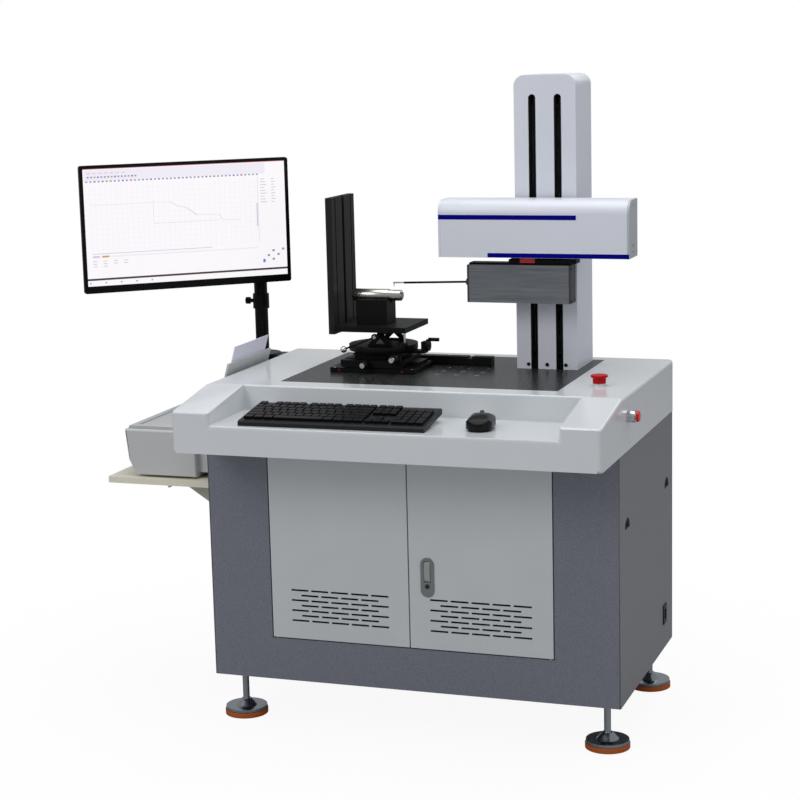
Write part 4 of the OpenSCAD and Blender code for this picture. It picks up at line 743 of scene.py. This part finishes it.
def add_base_screws():
    """Sunk screws in the rim of the stage's base, almost flush."""
    low, high = local_box("stage_base")
    rim_t = 12
    head = 3.0
    proud = 0.15
    side = 10
    end = 8
    places = [(x, y, low.z + rim_t + proud - head) for x in (low.x + side, high.x - side)
              for y in (low.y + end, high.y - end)]
    add_screws("base_screws", places, (0, 0, 1), radius=3.6, head=head, finish_name="silver",
               body="workstation")


def add_sensor_screws():
    """Screws in the sensor's right end plate."""
    low, high = local_box("sensor_end_plates")
    places = [(high.x, low.y + dy, low.z + dz) for dy in (6, 40) for dz in (6, 82)]
    add_screws("sensor_screws", places, (1, 0, 0), radius=2.4, head=1.0, finish_name="black",
               body="probe")


def add_saddle_clip():
    """Red clip on the probe's saddle."""
    low = local_box("x_carriage")[0]
    start = low + Vector((28, -2.5, 1))
    end = low + Vector((64, 1, 13))
    made = piece("saddle_clip", lambda builder: add_block(builder, start, end), "red", "probe")
    soften(made, width=0.6)


def add_index_marks():
    """Red index marks on the front of the stage's base."""
    low, high = local_box("stage_base")
    mark_w = 3

    def build(builder):
        for x in (low.x + 22, high.x - 34):
            add_block(builder, (x, low.y - 0.3, low.z + 4), (x + mark_w, low.y + 1, low.z + 9))

    made = piece("index_marks", build, "index", "workstation")
    soften(made, width=0.1, segments=1)


# Second finishes and painted shade, each as a depth from the end of its node, in millimetres
PIVOT_END = 1
LEVER_BALL = 15
KNOB_CAP = 8.5
STYLUS_TIP = 40
PANEL_SKIN = 1
COLUMN_FOOT = 30.5
SLOT_DEPTH = 60
SLOT_SIDE = 5
SADDLE_STEP = 0.5
CAP_LENS = 7


def paint_stage():
    """Bright pin end, lever ball and knob caps."""
    pivot_front = local_box("tilt_platform")[0].y
    recolour("tilt_platform", "silver", lambda p: p.y < pivot_front + PIVOT_END)
    lever_end = local_box("tilt_lock_lever")[0].x
    recolour("tilt_lock_lever", "silver", lambda p: p.x < lever_end + LEVER_BALL)
    for knob in ("x_knob", "y_knob"):
        edge = local_box(knob)[0].y + KNOB_CAP
        recolour(knob, "silver", lambda p: p.y < edge)


def paint_column():
    """White foot and dark inside of the column's slots."""
    low, high = local_box("column_cover")
    recolour("column_spine", "white", lambda p: p.z < low.z + COLUMN_FOOT)
    recolour("column_spine", "black_flat",
             lambda p: p.y < low.y + SLOT_DEPTH and low.x + SLOT_SIDE < p.x < high.x - SLOT_SIDE)


def paint_head():
    """Black stylus arm and sensor top, and a grey end cap at the right."""
    tip = local_box("stylus")[0].x
    recolour("stylus", "black", lambda p: p.x > tip + STYLUS_TIP)
    caps_low, caps_high = local_box("housing_end_caps")
    caps_middle = (caps_low.x + caps_high.x) / 2
    recolour("housing_end_caps", "cap", lambda p: p.x > caps_middle)
    sensor_top = local_box("sensor_end_plates")[1].z
    recolour("sensor_body", "black", lambda p: p.z > sensor_top + SADDLE_STEP)


def paint_cabinet():
    """Painted shade in the finger scoops, and the bright sleeve behind the power button's red lens."""
    low, high = local_box("side_panels")
    # Painted shade on the scoops' recessed faces, which lie inside the panel's outer skin
    recolour("side_panels", "scoop", lambda p: low.x + PANEL_SKIN < p.x < high.x - PANEL_SKIN)
    cap_front = local_box("power_button_cap")[1].x
    recolour("power_button_cap", "bezel", lambda p: p.x < cap_front - CAP_LENS)


# Floor and lights
# Half width of the floor, its drop under the pads and the stretch of its fade, in metres
FLOOR_SIZE = 14
FLOOR_DROP = 0.0006
FADE_START = 0.7
FADE_END = 1.7
# Floor as the object's light and as the camera meet it, and the share of plain white near the object
FLOOR_LIT = (0.45, 0.45, 0.46, 1)
FLOOR_SEEN = (0.96, 0.96, 0.965, 1)
FLOOR_WHITE = 0.93
SKY_COLOUR = (0.95, 0.97, 1.0, 1)
SKY_STRENGTH = 0.45
LAMP_AIM = (-150, 300, 800)
# Place of each lamp in millimetres, its width in metres and its power in watts
lamps = {
    "key": ((-2600, -3600, 3600), 2.6, 68),
    "top": ((200, 200, 4200), 3.2, 72),
    "fill": ((3800, -2200, 1800), 2.8, 18),
    "back": ((1700, 4600, 3600), 2.8, 22),
}


def seen_rays(tree):
    """One for camera and transmission rays, nought for the rays that light the object."""
    rays = tree.nodes.new("ShaderNodeLightPath")
    either = tree.nodes.new("ShaderNodeMath")
    either.operation = "MAXIMUM"
    tree.links.new(rays.outputs["Is Camera Ray"], either.inputs[0])
    tree.links.new(rays.outputs["Is Transmission Ray"], either.inputs[1])
    return either.outputs[0]


def floor_material():
    """Pale floor that keeps the object's shadow and fades to the white of the background."""
    sheet = Sheet("pale_floor")
    seen = seen_rays(sheet.tree)
    tone = sheet.add("ShaderNodeMix", data_type="RGBA")
    sheet.link(seen, tone.inputs["Factor"])
    grain = sheet.noise(3, 2)
    sheet.link(sheet.two_tone(grain, FLOOR_LIT, shade(FLOOR_LIT, 1.03)), tone.inputs[6])
    sheet.link(sheet.two_tone(grain, FLOOR_SEEN, shade(FLOOR_SEEN, 1.01)), tone.inputs[7])
    sheet.link(tone.outputs[2], sheet.shader.inputs["Base Color"])
    sheet.set(rough=0.8, specular=0.1)
    away = sheet.add("ShaderNodeVectorMath", operation="LENGTH")
    sheet.link(sheet.place, away.inputs[0])
    fade = sheet.add("ShaderNodeMapRange", interpolation_type="SMOOTHSTEP")
    fade.inputs["From Min"].default_value = FADE_START
    fade.inputs["From Max"].default_value = FADE_END
    fade.inputs["To Min"].default_value = FLOOR_WHITE
    sheet.link(away.outputs["Value"], fade.inputs["Value"])
    share = sheet.add("ShaderNodeMath", operation="MULTIPLY")
    sheet.link(fade.outputs["Result"], share.inputs[0])
    sheet.link(seen, share.inputs[1])
    white = sheet.add("ShaderNodeEmission")
    mix = sheet.add("ShaderNodeMixShader")
    sheet.link(share.outputs[0], mix.inputs["Fac"])
    sheet.link(sheet.shader.outputs["BSDF"], mix.inputs[1])
    sheet.link(white.outputs["Emission"], mix.inputs[2])
    sheet.link(mix.outputs["Shader"], sheet.out.inputs["Surface"])
    return sheet.material


def add_floor():
    """A wide floor just under the foot pads."""
    mesh = bpy.data.meshes.new("floor")
    builder = bmesh.new()
    bmesh.ops.create_grid(builder, x_segments=1, y_segments=1, size=FLOOR_SIZE)
    builder.to_mesh(mesh)
    builder.free()
    floor = bpy.data.objects.new("floor", mesh)
    floor.location.z = -FLOOR_DROP
    mesh.materials.append(floor_material())
    bpy.context.scene.collection.objects.link(floor)


def add_world():
    """White for the camera, a soft pale sky for the rays that light the object."""
    world = bpy.data.worlds.new("studio")
    bpy.context.scene.world = world
    world.use_nodes = True
    tree = world.node_tree
    tree.nodes.clear()
    out = tree.nodes.new("ShaderNodeOutputWorld")
    soft = tree.nodes.new("ShaderNodeBackground")
    soft.inputs["Color"].default_value = SKY_COLOUR
    soft.inputs["Strength"].default_value = SKY_STRENGTH
    white = tree.nodes.new("ShaderNodeBackground")
    white.inputs["Color"].default_value = (1, 1, 1, 1)
    white.inputs["Strength"].default_value = 1.0
    mix = tree.nodes.new("ShaderNodeMixShader")
    tree.links.new(seen_rays(tree), mix.inputs["Fac"])
    tree.links.new(soft.outputs[0], mix.inputs[1])
    tree.links.new(white.outputs[0], mix.inputs[2])
    tree.links.new(mix.outputs[0], out.inputs["Surface"])


def add_lights():
    """Round soft lamps, all aimed at the middle of the object."""
    for name, (place, size, power) in lamps.items():
        data = bpy.data.lights.new(name, "AREA")
        data.shape = "DISK"
        data.size = size
        data.energy = power
        lamp = bpy.data.objects.new(name, data)
        lamp.location = at(*place)
        lamp.rotation_euler = (at(*LAMP_AIM) - at(*place)).to_track_quat("-Z", "Y").to_euler()
        bpy.context.scene.collection.objects.link(lamp)


add_camera()
for name, node in nodes.items():
    dress_node(name, node)
paint_stage()
paint_column()
paint_head()
paint_cabinet()
add_screen()
add_insert_rings()
add_stripes()
add_column_screws()
add_cap_screws()
add_rail_screws()
add_base_screws()
add_sensor_screws()
add_saddle_clip()
add_index_marks()
add_floor()
add_world()
add_lights()
bpy.context.scene.view_settings.view_transform = "Standard"
